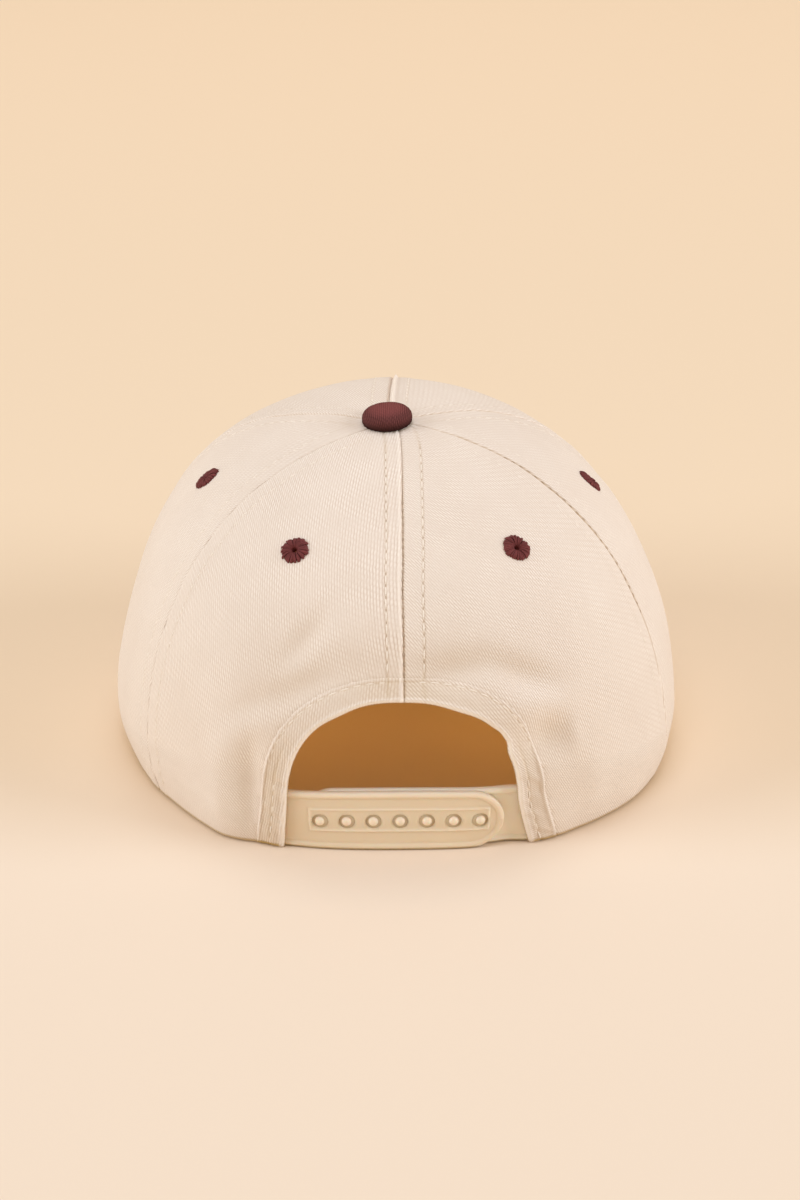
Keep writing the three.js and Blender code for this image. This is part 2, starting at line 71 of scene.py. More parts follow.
# Seams between the panels. Each has its azimuth and how far beside the line through the top it runs, how
# deep and wide its edge sinks, how much painted shade darkens its line, how much of the line is left at the
# rim, and how it fades near the button: from a height, to a height, by a share. Its rows of stitches have a
# depth and a height of their thread over it, and painted shade in their grooves. Pairs are for the panel
# before the seam and the one after it: how far off the row is, how proud the folded edge is, and how much
# painted highlight it has. An open seam has a ditch whose threads show, in the shaded thread, from a share
# of the way down to a height.
PLAIN_SEAM = {
    "sidestep": 0, "sink": 0.5, "width": 0.45, "line": 0.25, "left_at_rim": 1, "top_fade": (0, 1, 0),
    "row_depth": 0.16, "thread": -0.2, "rows": (5.7, 5.7), "proud": (0.1, 0.1), "light": (0.1, 0.1),
    "ditch": None,
}
SEAM_SHAPES_AND_SHADES = {
    "back": {
        "azimuth": -1.2, "sidestep": 4.7, "width": 0.36, "top_fade": (99, 108, 0.6), "row_depth": 0.34,
        "thread": 0.06, "rows": (5.2, 6.3), "proud": (0.3, 0.05), "light": (0.55, 0), "ditch": (0.2, 55.1),
    },
    "right_rear": {
        "azimuth": 66.5, "sidestep": 3.4, "sink": 0.9, "width": 0.7, "line": 0.5, "left_at_rim": 0.25,
        "top_fade": (106.9, 108.5, 0.8), "row_depth": 0.05, "thread": -0.26, "proud": (0.15, 0),
        "light": (0.4, 0.2), "ditch": (0.19, 56),
    },
    "right_front": {"azimuth": 121},
    "front": {
        "azimuth": 178.7, "sink": 0.45, "width": 0.4, "line": 0.12, "thread": -0.1, "proud": (0.95, 0.05),
        "light": (0.45, 0),
    },
    "left_front": {"azimuth": 245},
    "left_rear": {
        "azimuth": 302, "sink": 0.14, "line": 0.03, "row_depth": 0.1, "thread": -0.16, "proud": (0.05, 0.05),
        "light": (0, 0.1),
    },
}
SEAMS = {seam: PLAIN_SEAM | finish for seam, finish in SEAM_SHAPES_AND_SHADES.items()}
BEFORE, AFTER = 0, 1
SEAM_LINE_FADE = (38, 62)
SEAM_ROW_START = 0.09
SEAM_ROW_STOP = 0.985
SIDESTEP_START = 3
SEAM_WOBBLE = {"size": 16, "reach": 0.3, "run": (15, 40)}

# The panels: the seams that they lie between, the eyelet's azimuth and share of the way down, and how
# far the cloth's grain is turned
PANELS = {
    "back_right": ("back", "right_rear", (37.9, 0.331), -34),
    "side_right": ("right_rear", "right_front", (93.2, 0.35), -4),
    "front_right": ("right_front", "front", (149, 0.42), 3),
    "front_left": ("front", "left_front", (211, 0.42), -3),
    "side_left": ("left_front", "left_rear", (275.6, 0.31), 4),
    "back_left": ("left_rear", "back", (332.3, 0.319), -36),
}
CUT_PANELS = ("back_right", "back_left")
PANEL_COLUMNS = 132
PANEL_ROWS = 160
SEAM_ZONE = 7.6
SEAM_ZONE_SHARE = 0.42
SEAM_ZONE_COLUMNS = 0.29
RIM_CROWDING = 1.25
RIM_ROUND = 1.1
RIM_SHADE = 0.75
RIM_SHADE_REACH = (1.0, 2.1)
VALLEY_SHADE = 0.035

# Swells and dents of the cloth: azimuth, height, reach along and across, slant, depth
FOLDS = {
    "low left swell": (-33.5, 3, 18, 18, 0, 3.5),
    "low right swell": (57, 4, 35, 22, 0, 3.5),
    "left side swell": (-86, 18, 22, 20, 0, 0.6),
    "left side hollow": (-92, 50, 30, 24, 0, -1.1),
    "left top swell": (-120, 84, 34, 22, 0, 1),
    "middle swell": (0, 82, 34, 14, 0, 0.9),
    "middle sag": (0, 61, 26, 9, 0, -1.3),
    "left upper dent": (-18.8, 69, 11, 4.2, 44, -1.8),
    "left lower dent": (-21.2, 53.5, 17, 4.8, 27, -2.2),
    "left ridge": (-28, 42, 18, 5.5, 50, 1.1),
    "left valley": (-27.5, 19.9, 19, 4.2, 90, -2),
    "left outer ridge": (-34.8, 18.3, 18, 5, 90, 1.1),
    "right inner dent": (13, 62.5, 13, 4.4, 4, -2.3),
    "right outer dent": (26.5, 58.5, 12, 4.2, -22, -2.4),
    "right light ridge": (27, 48, 14, 5, -8, 1.2),
    "right pocket": (30.3, 37, 7, 8, 90, -2.8),
    "right foot swell": (31, 2, 9, 10, 0, 1.3),
    "right pocket edge": (36.6, 35.5, 5.5, 2.6, 90, 0.8),
    "right leg ridge": (41, 19, 18, 6, 90, 0.6),
}
WAVES = {"broad": (34, 0.35), "middling": (15, 0.22), "fine": (6, 0.07)}

# Seam shape, its painted shade and highlight, and stitches
EDGE_MIDDLE = 1
EDGE_WIDTH = 0.42
ALLOWANCE_RISE = 0.2
ROW_WIDTH = 0.45
ROW_THREAD = 0.2
ROW_SHADE = 0.6
FALL_POWER = 1.5
ALLOWANCE_END = (-0.4, 1.8)
SEAM_STATIONS = 220
PUCKER = 0.16
PUCKER_REACH = 7
PUCKER_SIZE = 4.5
PUCKER_STRETCH = [1, 1, 1.6]
STITCH = {"pitch": 4, "length": 3.2, "radius": 0.27, "phase": 0.5}
# Dark beads of the shaded thread between the stitches, as painted shade in the needle holes
NEEDLE_HOLE_SHADE = {"pitch": 4, "length": 0.8, "radius": 0.125, "phase": 0}
DITCH_STITCH = {"pitch": 2.9, "length": 1.5, "radius": 0.2, "phase": 0.5}
DITCH_SINK = 0.25
NEEDLE_HOLE_SHADE_LIFT = -0.05

# A stitch from end to end, as shares of its half length and of its radius, and the sides of a thread
STITCH_SHARES = np.array([-1, -0.8, -0.4, 0, 0.4, 0.8, 1])
STITCH_SWELL = np.array([0.25, 0.75, 1, 1.05, 1, 0.75, 0.25])
STITCH_LIFT = np.array([-0.7, -0.1, 0.35, 0.45, 0.35, -0.1, -0.7])
THREAD_SIDES = 6

# Opening at the back
ARCH_CENTRE_X = 2.1
ARCH_TOP = 54.1
ARCH_SHOULDER = 18
ARCH_SIDES = {
    "left": {"direction": -1, "width": 36.2, "fullness": 2.34, "splay": 1.2},
    "right": {"direction": 1, "width": 36.2, "fullness": 2.5, "splay": 4.0},
}
ARCH_ROUND_SHARE = 0.6
ARCH_SPLAY_START = 0.5
ARCH_SPLAY_POWER = 1.2
ARCH_STATIONS = 140
HEM_FINE_SHARE = 0.03
HEM_TOP_WIDTH = 6.8
HEM_LEG_WIDTH = 8
HEM_LAP = 2
HEM_ROW = 1.2
HEM_LEG_ROWS = {"left": 3.9, "right": 3.1}
HEM_LEGS_START = (0.34, 0.55)
HEM_INNER = -1.9
HEM_DARK_RIM = 0.25
HEM_ROUNDED_SHARE = 0.16
HEM_OUTER_SHARE = 1.06
HEM_END_SHARE = 0.99
HEM_FOOT = (0.84, 0.98)
HEM_LUMPS = {"size": 9, "depth": 0.1}
HEM_GRAINS = {"left": -8, "right": -54}
HEM_SINK = 0.8
HEM_SINK_LAP = 0.5
BACK_ROWS_CLEARANCE = 0.8
WRINKLE_SLANT = np.array([[1, 0, 0.5], [0, 1, 0], [0.3, 0, 0.9]])
WRINKLE_STRETCH = [0.6, 0.6, 1.3]
WRINKLE_SIZE = 2.6

# The hem's cross-section, for relief and for light and shade. Bumps have a height, a middle and a width.
# Pairs are the value at the top and how much more it is on the legs or, for the drop, at the feet.
HEM_RISE = (0.14, 0.16)
HEM_RIDGE = {"rise": (0.06, 0.4), "middle": 0.55, "width": 0.42}
HEM_RIDGE_LIGHT = {"rise": (0.06, 0.3), "middle": 0.5, "width": 0.4}
HEM_LIP = (0.25, 0.85, 0.45)
HEM_RIM_LIGHT = (1.1, 0.25, 0.6)
HEM_ROLL = {"depth": 0.4, "reach": 0.3}
HEM_DROP = {"depth": (0.5, 0.4), "run": (-0.45, 0.25)}
HEM_BAND = {"depth": 0.22, "shade": 0.05, "foot_loss": 0.7, "run_in": 0.5, "run_out": (0.7, 1.9)}
HEM_LEG_GROOVE = {"width": 0.4, "depth": 0.36, "shade": 0.22, "foot_loss": 0.6}
HEM_TOP_GROOVE = {"width": 0.4, "depth": 0.13, "shade": 0.07}
HEM_SHADE = {"left": 0.19, "right": 0.08, "top": 0.06}
HEM_MIDDLE_SHADE = (0.13, 0, 0.13)
HEM_WRINKLE = {"top": 0.1, "legs": 0.24, "edge": 0.14, "edge_reach": 3}
HEM_SMOOTH_EDGE = (0.75, 0.5, 0.9)
# Painted shade on the fold at the opening's edge and on the turned-in rings inside it
HEM_FOLD = {"outset": -1.0, "tone": -1}
HEM_INSIDE_SHADE = -0.5
HEM_THREAD_LIFTS = {"top": -0.1, "legs": -0.08}
HEM_FINE_STATIONS = 61
HEM_CLOSE_RINGS = 8
HEM_WIDE_RINGS = 38

# The hem's turned-in rings: distance from the opening's edge or from its own outer edge, and outset
HEM_TURNED_IN = ((0, -1.5), (0.4, -1.85), (1.2, HEM_INNER), (3.5, HEM_INNER))
HEM_TURNED_BACK = ((-1, HEM_INNER), (0.2, -1.75), (0.45, -1.2))

# Soft corners of the opening's edge: share of the way along it, reach, how far in
ARCH_KINKS = (
    (-0.2, 0.07, 0.6), (0.16, 0.09, 1.0), (0.36, 0.035, -0.7), (0.405, 0.024, -0.6), (0.455, 0.035, 0.35),
)

# Eyelets and button
EYELET_RADIUS = 4.7
EYELET_BORE = 0.62
EYELET_HOLE = 1.9
EYELET_THREADS = 34
EYELET_RISE = 0.9
EYELET_UNEVEN = {"spacing": (-0.3, 0.3), "reach": (0.93, 1.05), "lift": (0.75, 1.25)}
EYELET_PACKING = 1.15
EYELET_THICKNESS = (0.16, 0.5)
EYELET_FLATNESS = 0.75
EYELET_SQUEEZE = {"side_left": 0.82, "side_right": 0.7}

# How far out and how high a thread is, from the hole to its end, and the cloth bed below all of them
EYELET_SHARES = np.array([0.0, 0.05, 0.12, 0.3, 0.55, 0.8, 0.94, 1.0])
EYELET_HEIGHTS = np.array([-2.0, -0.6, 0.4, 0.92, 1.0, 0.72, 0.25, -0.35])
EYELET_SLIMMING = [1, 1, 1, 1, 1, 1, 0.85, 0.35]
EYELET_BED_RADII = np.array([1.0, 1.6, 3, 0.86 * EYELET_RADIUS, 0.86 * EYELET_RADIUS, 1.2])
EYELET_BED_HEIGHTS = np.array([-1.6, 0.25, 0.35, 0.1, -0.4, -1.9])
EYELET_BED_SIDES = 40

# The button's radius and height, from under it over its edge to its top
BUTTON_OUTLINE = np.array([
    (0.0, -2.3), (2.0, -2.3), (2.0, -0.3), (4.2, -0.3), (6.2, -0.1), (7.25, 0.15), (7.85, 0.6), (8.12, 1.2),
    (8.23, 1.9), (8.22, 2.7), (8.05, 3.5), (7.65, 4.2), (7.0, 4.83), (6.05, 5.32), (4.8, 5.66), (3.4, 5.88),
    (2.0, 6.01), (1.0, 6.05), (0.0, 6.06),
])
BUTTON_SIDES = 96
BUTTON_GATHERS = {"count": 26, "depth": 0.14, "run": (-2.2, -0.6)}
BUTTON_LUMPS = {"size": 3.5, "depth": 0.1}
BUTTON_LIGHT = {"tone": 0.5, "run": (4.6, 6)}
BUTTON_SHADE = {"tone": 0.85, "run": (0.8, 3.6)}
BUTTON_TILT = 4

# Strap; bumps have a height, a middle and a width
STRAP_HEIGHT = 20.5
STRAP_THICKNESS = 1.8
STRAP_GAP = 0.3
STRAP_TAIL_INSET = 2
STRAP_SPREAD = 1 + STRAP_TAIL_INSET / MEAN_RADIUS
STRAP_MIDDLE_Y = -89.3
STRAP_MIDDLE_X = -2
STRAP_BOW_RADIUS = 150
STRAP_FREE_AZIMUTH = 24
STRAP_TIP_RIGHT = 34.2
STRAP_TIP_LEFT = -30
STRAP_TAIL_LEFT = -50
STRAP_TAIL_RIGHT = 56
STRAP_JOINS_CLOTH = (21.8, 28)
STRAP_RIM = 2.1
STRAP_RIM_PROUD = 0.5
STRAP_GROOVE = (-0.12, 0.35, 0.35)
STRAP_FRONT_ROUND = 0.5
STRAP_BACK_ROUND = {"depth": 0.35, "reach": 0.4}
PLATE = {"left": -27, "right": 29.5, "low": 6.7, "high": 14.9, "proud": 0.1, "run": (-0.2, 0.25)}
PLATE_LIP = (0.32, 0.3, 0.32)
PLATE_LIGHT = (0.4, 0.3, 0.35)
PLATE_SHADE = (-0.14, -0.3, 0.3)
SNAP_LIP = (0.12, 0.6, 0.35)
SNAP_FALL = (-0.35, 0, 0.28)
SNAP_COUNT = 7
SNAP_PITCH = 8.43
SNAP_MIDDLE_X = 1.5
SNAP_HOLE_RADIUS = 2.45
HOLE_SIDES = 48
PEG_RADIUS = 1.48
PEG_PROUD = 1.05
PEG_FOOT_RADIUS = 1.2
PEG_FOOT_BEVEL = 0.2
PEG_FILLET = 0.14
PEG_DOME_BASE = 0.1
PEG_DOME_TURNS = (0, 84, 9)
PEG_SIDES = 40
PEG_SHADE = -0.5
COLLAR_RADIUS = SNAP_HOLE_RADIUS + 0.08
COLLAR_DEPTH = 0.2
COLLAR_BEVEL = 0.12
STRAP_SHADE = 0.8
STRAP_SHADE_REACH = (0.5, 1.2)
STRAP_RIM_LIGHT = {"tone": 0.5, "run": (0.9, 1.7)}
STRAP_TIP_TURN = 87
STRAP_TIP_COLUMNS = 46
STRAP_ROWS = 59
STRAP_SHARPNESS = 50
STRAP_COLUMN = 0.36

# Brim
BRIM_THICKNESS = 3
BRIM_ARCH = 14
BRIM_HALF_WIDTH = 87
BRIM_REACH = 167.6
BRIM_CORNER_Y = 30
BRIM_CORNER_DRAW = 2.5
BRIM_CORNER_RUN = 12
BRIM_ROUNDNESS = 2.4
BRIM_NOSE_DROP = 0.15
BRIM_FLAT_FROM = 78
BRIM_EDGE_SHARPNESS = 32
BRIM_FIRST_AZIMUTH = 110
BRIM_TUCK = 1.8
BRIM_SEAT_GAP = 0.35
RIM_LIFT_FROM = 88
BRIM_COLUMNS = 200
BRIM_ACROSS = 84
BRIM_CROWDING = 1.5
BRIM_GROOVE = {"depth": 0.22, "width": 0.7}
BRIM_LUMPS = {"size": 16, "depth": 0.12}
BRIM_THREAD_SINK = 0.2
BRIM_ROW_START = 0.02
BRIM_ROWS = (3.5, 9.5, 15.5, 21.5, 27.5, 33.5, 39.5, 45.5)

# Colours, as they are painted, before light. The lighter and darker ones are painted highlight and painted
# shade, mixed in by the tone attribute.
CREAM = {
    "light": (0.912, 0.815, 0.727), "dark": (0.645, 0.5, 0.393),
    "lighter": (0.98, 0.88, 0.78), "darker": (0.47, 0.3, 0.09),
}
CREAM_THREAD = (0.955, 0.865, 0.77)
CREAM_THREAD_DARK = (0.82, 0.715, 0.61)
# The shaded thread is a darker copy of the cream thread, as painted shade, for the needle holes and the
# ditch threads
SHADED_THREAD = (0.68, 0.55, 0.44)
SHADED_THREAD_DARK = (0.45, 0.33, 0.22)
RAISIN = {
    "light": (0.18, 0.056, 0.052), "dark": (0.028, 0.009, 0.009),
    "lighter": (0.3, 0.08, 0.075), "darker": (0.03, 0.009, 0.007),
}
RAISIN_THREAD = (0.29, 0.053, 0.05)
PLASTIC_OUTER = (0.875, 0.722, 0.53)
# Painted light: the inner band's plastic is a lighter copy of the outer band's, making up for the shade that
# the inner band lies in
PLASTIC_INNER_LIT = (1.0, 0.88, 0.715)
# Painted highlight: the pegs' plastic is a lighter copy of the band's, for the light that their domes catch
PLASTIC_PEG_LIT = (0.95, 0.79, 0.61)
PLASTIC_LIGHTER = (1.0, 0.85, 0.71)
PLASTIC_DARKER = (0.34, 0.22, 0.07)
# The floor's colours by depth are painted shading of the paper sweep
FLOOR_NEAR = (0.866, 0.722, 0.583)
FLOOR_MIDDLE = (0.868, 0.695, 0.512)
FLOOR_BACK = (0.952, 0.748, 0.546)
FLOOR_CHANGE = (-0.15, -0.04)
FLOOR_BACK_CHANGE = (0.2, 1.0)
BUTTON_WEAVE = 1.2
BUTTON_GRAIN = -14

# Weave, thread and plastic, with scales of noise for each millimetre of cloth and each metre elsewhere
RIB_PITCH = 0.82
RIB_SLANT = 76
RIB_WOBBLE = 0.5
RIB_WOBBLE_SCALE = 0.35
RIB_OFFSET = 0.37
FLOAT_LENGTH = 2
FLOAT_DEPTH = 0.4
SLUB_SCALE = 1.6
SLUB_HEIGHT = 0.7
SLUB_TINT = 0.34
PATCH_SCALE = 0.05
CLEAR_SCALE = 0.11
CLEAR_RANGE = (0.38, 0.64)
MEAN_WEAVE = 0.51
MEAN_TINT = 0.44
STRAND_SCALE = 2600
STRAND_TINT = 0.6
UNEVEN_SCALE = 420
CLOUD_SCALE = 60
GRAIN_SCALE = 2200
PAPER_SCALE = 900
ROUGHNESS = {"cloth": 0.92, "thread": 0.75, "plastic": 0.36, "paper": 0.9}

# Camera
CAMERA_AIM = (1.45, -37, 44.9)
CAMERA_DISTANCE = 1100
CAMERA_ELEVATION = 25.45
CAMERA_LENS = 98.67
CAMERA_SENSOR = 36

# Floor, lamps and glow, in metres and watts
FLOOR_REACH = 4.0
FLOOR_HALF_WIDTH = 6.0
FLOOR_BEND = 1.6
FLOOR_RISE = 1.2
FLOOR_STATIONS = 81
SKY_COLOUR = (1, 0.81, 0.53, 1)
SKY_STRENGTH = 0.47
LAMP_AIM = (0, -0.05, 0.04)
LAMPS = {
    "top": ((-0.25, -0.6, 2.0), 0.9, 8.8, (0.73, 0.77, 1)),
    "left": ((-4.4, -1.15, 1.76), 2.8, 136, (0.79, 0.9, 1)),
    "right": ((4.4, -0.95, 1.76), 2.8, 143.2, (0.8, 0.89, 1)),
    "over": ((0.1, 0.5, 1.9), 0.9, 7.6, (0.82, 0.89, 1)),
}
GLOW_X = 0.048
GLOW_Y = -0.035
GLOW_HEIGHT = 0.07
GLOW_SIZE = 0.04
GLOW_POWER = 0.0125
GLOW_COLOUR = (1, 0.545, 0.15)


def smoothstep(value, low, high):
    share = np.clip((value - low) / (high - low), 0, 1)
    return share * share * (3 - 2 * share)


def cos_sin(degrees):
    return math.cos(math.radians(degrees)), math.sin(math.radians(degrees))


def unit(vectors):
    return vectors / np.linalg.norm(vectors, axis=-1, keepdims=True)


def signed_power(value, power):
    return np.sign(value) * np.abs(value) ** power


def bell(value, middle, width):
    """1 at the middle, falling smoothly to nothing on both sides."""
    return np.exp(-(((value - middle) / width) ** 2))


def bump(value, height, middle, width):
    return height * bell(value, middle, width)


def grown(pair, share):
    """The first value of a pair and this share of the second."""
    return pair[0] + pair[1] * share


def lumps(points, size, seed):
    """Smooth noise from -1 to 1 at each point, with lumps of this size."""
    lattice = np.random.default_rng(seed).uniform(-1, 1, 4096)
    cells = points / size
    base = np.floor(cells).astype(np.int64)
    part = cells - base
    part = part * part * (3 - 2 * part)
    total = np.zeros(points.shape[:-1])
    for corner in itertools.product((0, 1), repeat=3):
        weight = np.prod(np.where(corner, part, 1 - part), axis=-1)
        near = base + corner
        spot = near[..., 0] * 73856093 ^ near[..., 1] * 19349663 ^ near[..., 2] * 83492791
        total += weight * lattice[spot % 4096]
    return total


# Brim sheet


def brim_half_width(y):
    beyond = np.maximum(0, y - BRIM_CORNER_Y)
    forward = np.minimum(1, beyond / (BRIM_REACH - BRIM_CORNER_Y))
    full = BRIM_HALF_WIDTH * (1 - forward**BRIM_ROUNDNESS) ** (1 / BRIM_ROUNDNESS)
    return np.maximum(0, full - BRIM_CORNER_DRAW * np.exp(-beyond / BRIM_CORNER_RUN))


def brim_underside(x, y):
    power = BRIM_EDGE_SHARPNESS
    edge = (brim_half_width(y) ** power + float(BRIM_FLAT_FROM) ** power) ** (1 / power)
    forward = np.maximum(0, (y - BRIM_CORNER_Y) / (BRIM_REACH - BRIM_CORNER_Y))
    return BRIM_ARCH * np.maximum(0, 1 - (x / edge) ** 2) * (1 - BRIM_NOSE_DROP * forward)


# Crown surface


def profile_at(profile, along):
    dome = np.minimum(along / DOME_SHARE, 1) * math.pi / 2
    below = np.maximum(0, (along - DOME_SHARE) / (1 - DOME_SHARE))
    widest, level = profile["widest"], profile["level"]
    radius = widest * np.sin(dome) - (widest - profile["rim"]) * below**RIM_TURN_IN
    rise = np.sqrt(np.maximum(0, 1 - np.sin(dome) ** profile["fullness"]))
    return radius, level + (CROWN_HEIGHT - level) * rise, below


def rim_height(azimuth):
    """The rim lies on the surface at the back and sides and climbs over the brim at the front."""
    turn = np.abs((azimuth + 180) % 360 - 180)
    x = (PROFILES["side"]["rim"] - CLOTH) * np.sin(np.radians(turn))
    y = (CLOTH - PROFILES["front"]["rim"]) * np.cos(np.radians(turn))
    seat = brim_underside(x, y) + BRIM_THICKNESS + BRIM_SEAT_GAP
    return seat * smoothstep(turn, RIM_LIFT_FROM, BRIM_FIRST_AZIMUTH - 1)


def crown_point(azimuth, along):
    """A point of the smooth crown; along runs from 0 at the top to 1 at the rim."""
    forward = -np.cos(np.radians(azimuth))
    sideways = np.sin(np.radians(azimuth))
    ahead = forward > 0
    side_radius, side_height, below = profile_at(PROFILES["side"], along)
    front_radius, front_height, _ = profile_at(PROFILES["front"], along)
    back_radius, back_height, _ = profile_at(PROFILES["back"], along)
    end_radius = np.where(ahead, front_radius, back_radius)
    end_height = np.where(ahead, front_height, back_height)
    power = 2 / np.where(ahead, FRONT_SQUARENESS, BACK_SQUARENESS)
    level = side_height + (end_height - side_height) * forward**2
    height = level + (rim_height(azimuth) - level) * below
    lean = TOP_LEAN * np.clip(height / CROWN_HEIGHT, 0, 1) ** 2
    x = side_radius * signed_power(sideways, power) + lean
    return np.stack([x, end_radius * signed_power(forward, power), height], axis=-1)


def crown_normal(azimuth, along):
    """The outward direction, which turns level towards the rim."""
    step = 0.002
    inner = np.clip(along, 0.02, 1 - step)
    down = crown_point(azimuth, inner + step) - crown_point(azimuth, inner - step)
    around = crown_point(azimuth + 0.2, inner) - crown_point(azimuth - 0.2, inner)
    normal = unit(np.cross(down, around))
    below = np.maximum(0, (along - DOME_SHARE) / (1 - DOME_SHARE))
    normal[..., 2] *= 1 - below**2
    return unit(normal)


def fold_depth(azimuth, height):
    depth = 0
    for middle, level, reach, width, slant, fold in FOLDS.values():
        around = np.radians((azimuth - middle + 180) % 360 - 180) * MEAN_RADIUS
        rise = height - level
        cos, sin = cos_sin(slant)
        lengthways = (around * cos + rise * sin) / reach
        crossways = (rise * cos - around * sin) / width
        depth = depth + fold * np.exp(-(lengthways**2) - crossways**2)
    return depth


def cloth_point(azimuth, along, outset):
    """A point of the soft cloth, outset from the face that is seen."""
    azimuth, along = np.broadcast_arrays(np.asarray(azimuth, float), np.asarray(along, float))
    point = crown_point(azimuth, along)
    depth = outset + fold_depth(azimuth, point[..., 2])
    for seed, (size, wave) in enumerate(WAVES.values()):
        depth = depth + wave * lumps(point, size, seed)
    return point + crown_normal(azimuth, along) * depth[..., None]


def along_at_height(azimuth, height):
    above = np.zeros(np.broadcast(azimuth, height).shape)
    below = np.ones_like(above)
    for _ in range(22):
        middle = (above + below) / 2
        higher = crown_point(azimuth + 0 * middle, middle)[..., 2] > height
        above = np.where(higher, middle, above)
        below = np.where(higher, below, middle)
    return (above + below) / 2


def place_on_back(x, height):
    """The azimuth and share of the way down of the place that has this X and this height."""
    x, height = np.broadcast_arrays(np.asarray(x, float), np.asarray(height, float))
    azimuth = np.degrees(np.arcsin(x / MEAN_RADIUS))
    for _ in range(6):
        along = along_at_height(azimuth, height)
        azimuth = azimuth + np.degrees((x - crown_point(azimuth, along)[..., 0]) / MEAN_RADIUS)
    return azimuth, along


def seam_azimuth(seam, along):
    """Where a seam runs, with the small wobble of hand-guided sewing."""
    azimuth, sidestep = SEAMS[seam]["azimuth"], SEAMS[seam]["sidestep"]
    radius = profile_at(PROFILES["side"], along)[0]
    length = MEAN_LENGTH * np.asarray(along)
    line = np.stack([length, azimuth + 0 * length, 0 * length], axis=-1)
    wobble = SEAM_WOBBLE["reach"] * lumps(line, SEAM_WOBBLE["size"], SEEDS["seam"])
    wobble = wobble * smoothstep(length, *SEAM_WOBBLE["run"])
    aside = sidestep * radius**2 / (radius**2 + SIDESTEP_START**2) + wobble
    return azimuth + np.degrees(aside / radius)


def beside_seam(seam, along, distance):
    """The azimuth that lies this far from a seam across the cloth, before it if negative."""
    start = seam_azimuth(seam, along)
    origin = crown_point(start, along)
    azimuth = start + np.degrees(distance / MEAN_RADIUS)
    for _ in range(8):
        reach = np.linalg.norm(crown_point(azimuth, along) - origin, axis=-1)
        azimuth = start + (azimuth - start) * abs(distance) / reach
    return azimuth


# Meshes


def grid_faces(columns, rows, keep=None):
    """The faces of a closed sheet between two grids of points, with only the cells that keep marks."""
    if keep is None:
        keep = np.ones((rows, columns), bool)
    number = np.arange((rows + 1) * (columns + 1)).reshape(rows + 1, columns + 1)
    size = number.size
    a, b, c, d = number[:-1, :-1], number[1:, :-1], number[1:, 1:], number[:-1, 1:]
    faces = [np.stack([a, b, c, d], -1)[keep], np.stack([a, d, c, b], -1)[keep] + size]
    ring = np.pad(keep, 1)
    sides = [
        (ring[1:-1, :-2], a, b),
        (ring[2:, 1:-1], b, c),
        (ring[1:-1, 2:], c, d),
        (ring[:-2, 1:-1], d, a),
    ]
    for beside, start, end in sides:
        p, q = start[keep & ~beside], end[keep & ~beside]
        faces.append(np.stack([p, p + size, q + size, q], -1))
    return np.concatenate(faces)


def tube_faces(tubes, rings, sides):
    """The faces of closed tubes, each with this many rings of this many points, and end caps."""
    ring = np.arange(rings - 1)[:, None] * sides
    side = np.arange(sides)[None, :]
    after = (side + 1) % sides
    walls = np.stack([ring + side, ring + after, ring + sides + after, ring + sides + side], -1)
    start = np.arange(tubes) * rings * sides
    quads = (start[:, None, None] + walls.reshape(1, -1, 4)).reshape(-1, 4)
    first = start[:, None] + np.arange(sides)[None, ::-1]
    last = start[:, None] + (rings - 1) * sides + np.arange(sides)[None, :]
    return quads.tolist() + first.tolist() + last.tolist()


def circle(sides):
    return np.arange(sides) * 2 * math.pi / sides


def turned_points(radius, height, around):
    """Points at these radii and heights, turned about their own third axis."""
    return np.stack([radius * np.cos(around), radius * np.sin(around), height + 0 * around], axis=-1)


def ring_faces(sides, levels, closed=False):
    """The faces between points in levels at each side; closed joins the last level to the first."""
    steps = levels if closed else levels - 1
    side, level = np.meshgrid(np.arange(sides), np.arange(steps), indexing="ij")
    side, after = side * levels, (side + 1) % sides * levels
    above = (level + 1) % levels
    return np.stack([side + level, after + level, after + above, side + above], axis=-1).reshape(-1, 4)


def in_metres(points):
    return (points + [0, CROWN_AXIS_Y, 0]) * MM


def add_to_scene(name, data):
    thing = bpy.data.objects.new(name, data)
    bpy.context.scene.collection.objects.link(thing)
    return thing


def add_mesh(name, points, faces):
    """A new object from points in metres."""
    mesh = bpy.data.meshes.new(name)
    mesh.from_pydata(np.asarray(points).tolist(), [], faces)
    return add_to_scene(name, mesh)


def make_piece(name, points, faces, material, uv=None, tone=None, replaces=(), sharp=50):
    """A mesh piece from points round the crown's axis.

    uv holds flat cloth places in millimetres, and tone each point's painted highlight, where it is more than
    nothing, and painted shade, where it is less.
    """
    faces = faces.tolist() if hasattr(faces, "tolist") else faces
    points = np.asarray(points, float).reshape(-1, 3)
    used = np.unique(np.fromiter(itertools.chain.from_iterable(faces), int))
    number = np.zeros(len(points), int)
    number[used] = np.arange(len(used))
    faces = [[int(number[corner]) for corner in face] for face in faces]
    piece = add_mesh(name, in_metres(points[used]), faces)
    mesh = piece.data
    if uv is not None:
        layer = mesh.uv_layers.new(name="cloth")
        corner = np.zeros(len(mesh.loops), np.int32)
        mesh.loops.foreach_get("vertex_index", corner)
        flat = np.asarray(uv, float).reshape(-1, 2)[used]
        layer.data.foreach_set("uv", flat[corner].astype(np.float32).ravel())
    if tone is not None:
        shade = mesh.attributes.new("tone", "FLOAT", "POINT")
        shade.data.foreach_set("value", np.asarray(tone, np.float32).reshape(-1)[used])
    mesh.polygons.foreach_set("use_smooth", np.ones(len(mesh.polygons), bool))
    mesh.set_sharp_from_angle(angle=math.radians(sharp))
    mesh.validate()
    mesh.materials.append(material)
    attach(piece, "root")
    if replaces:
        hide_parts(*replaces)
    return piece


# Materials


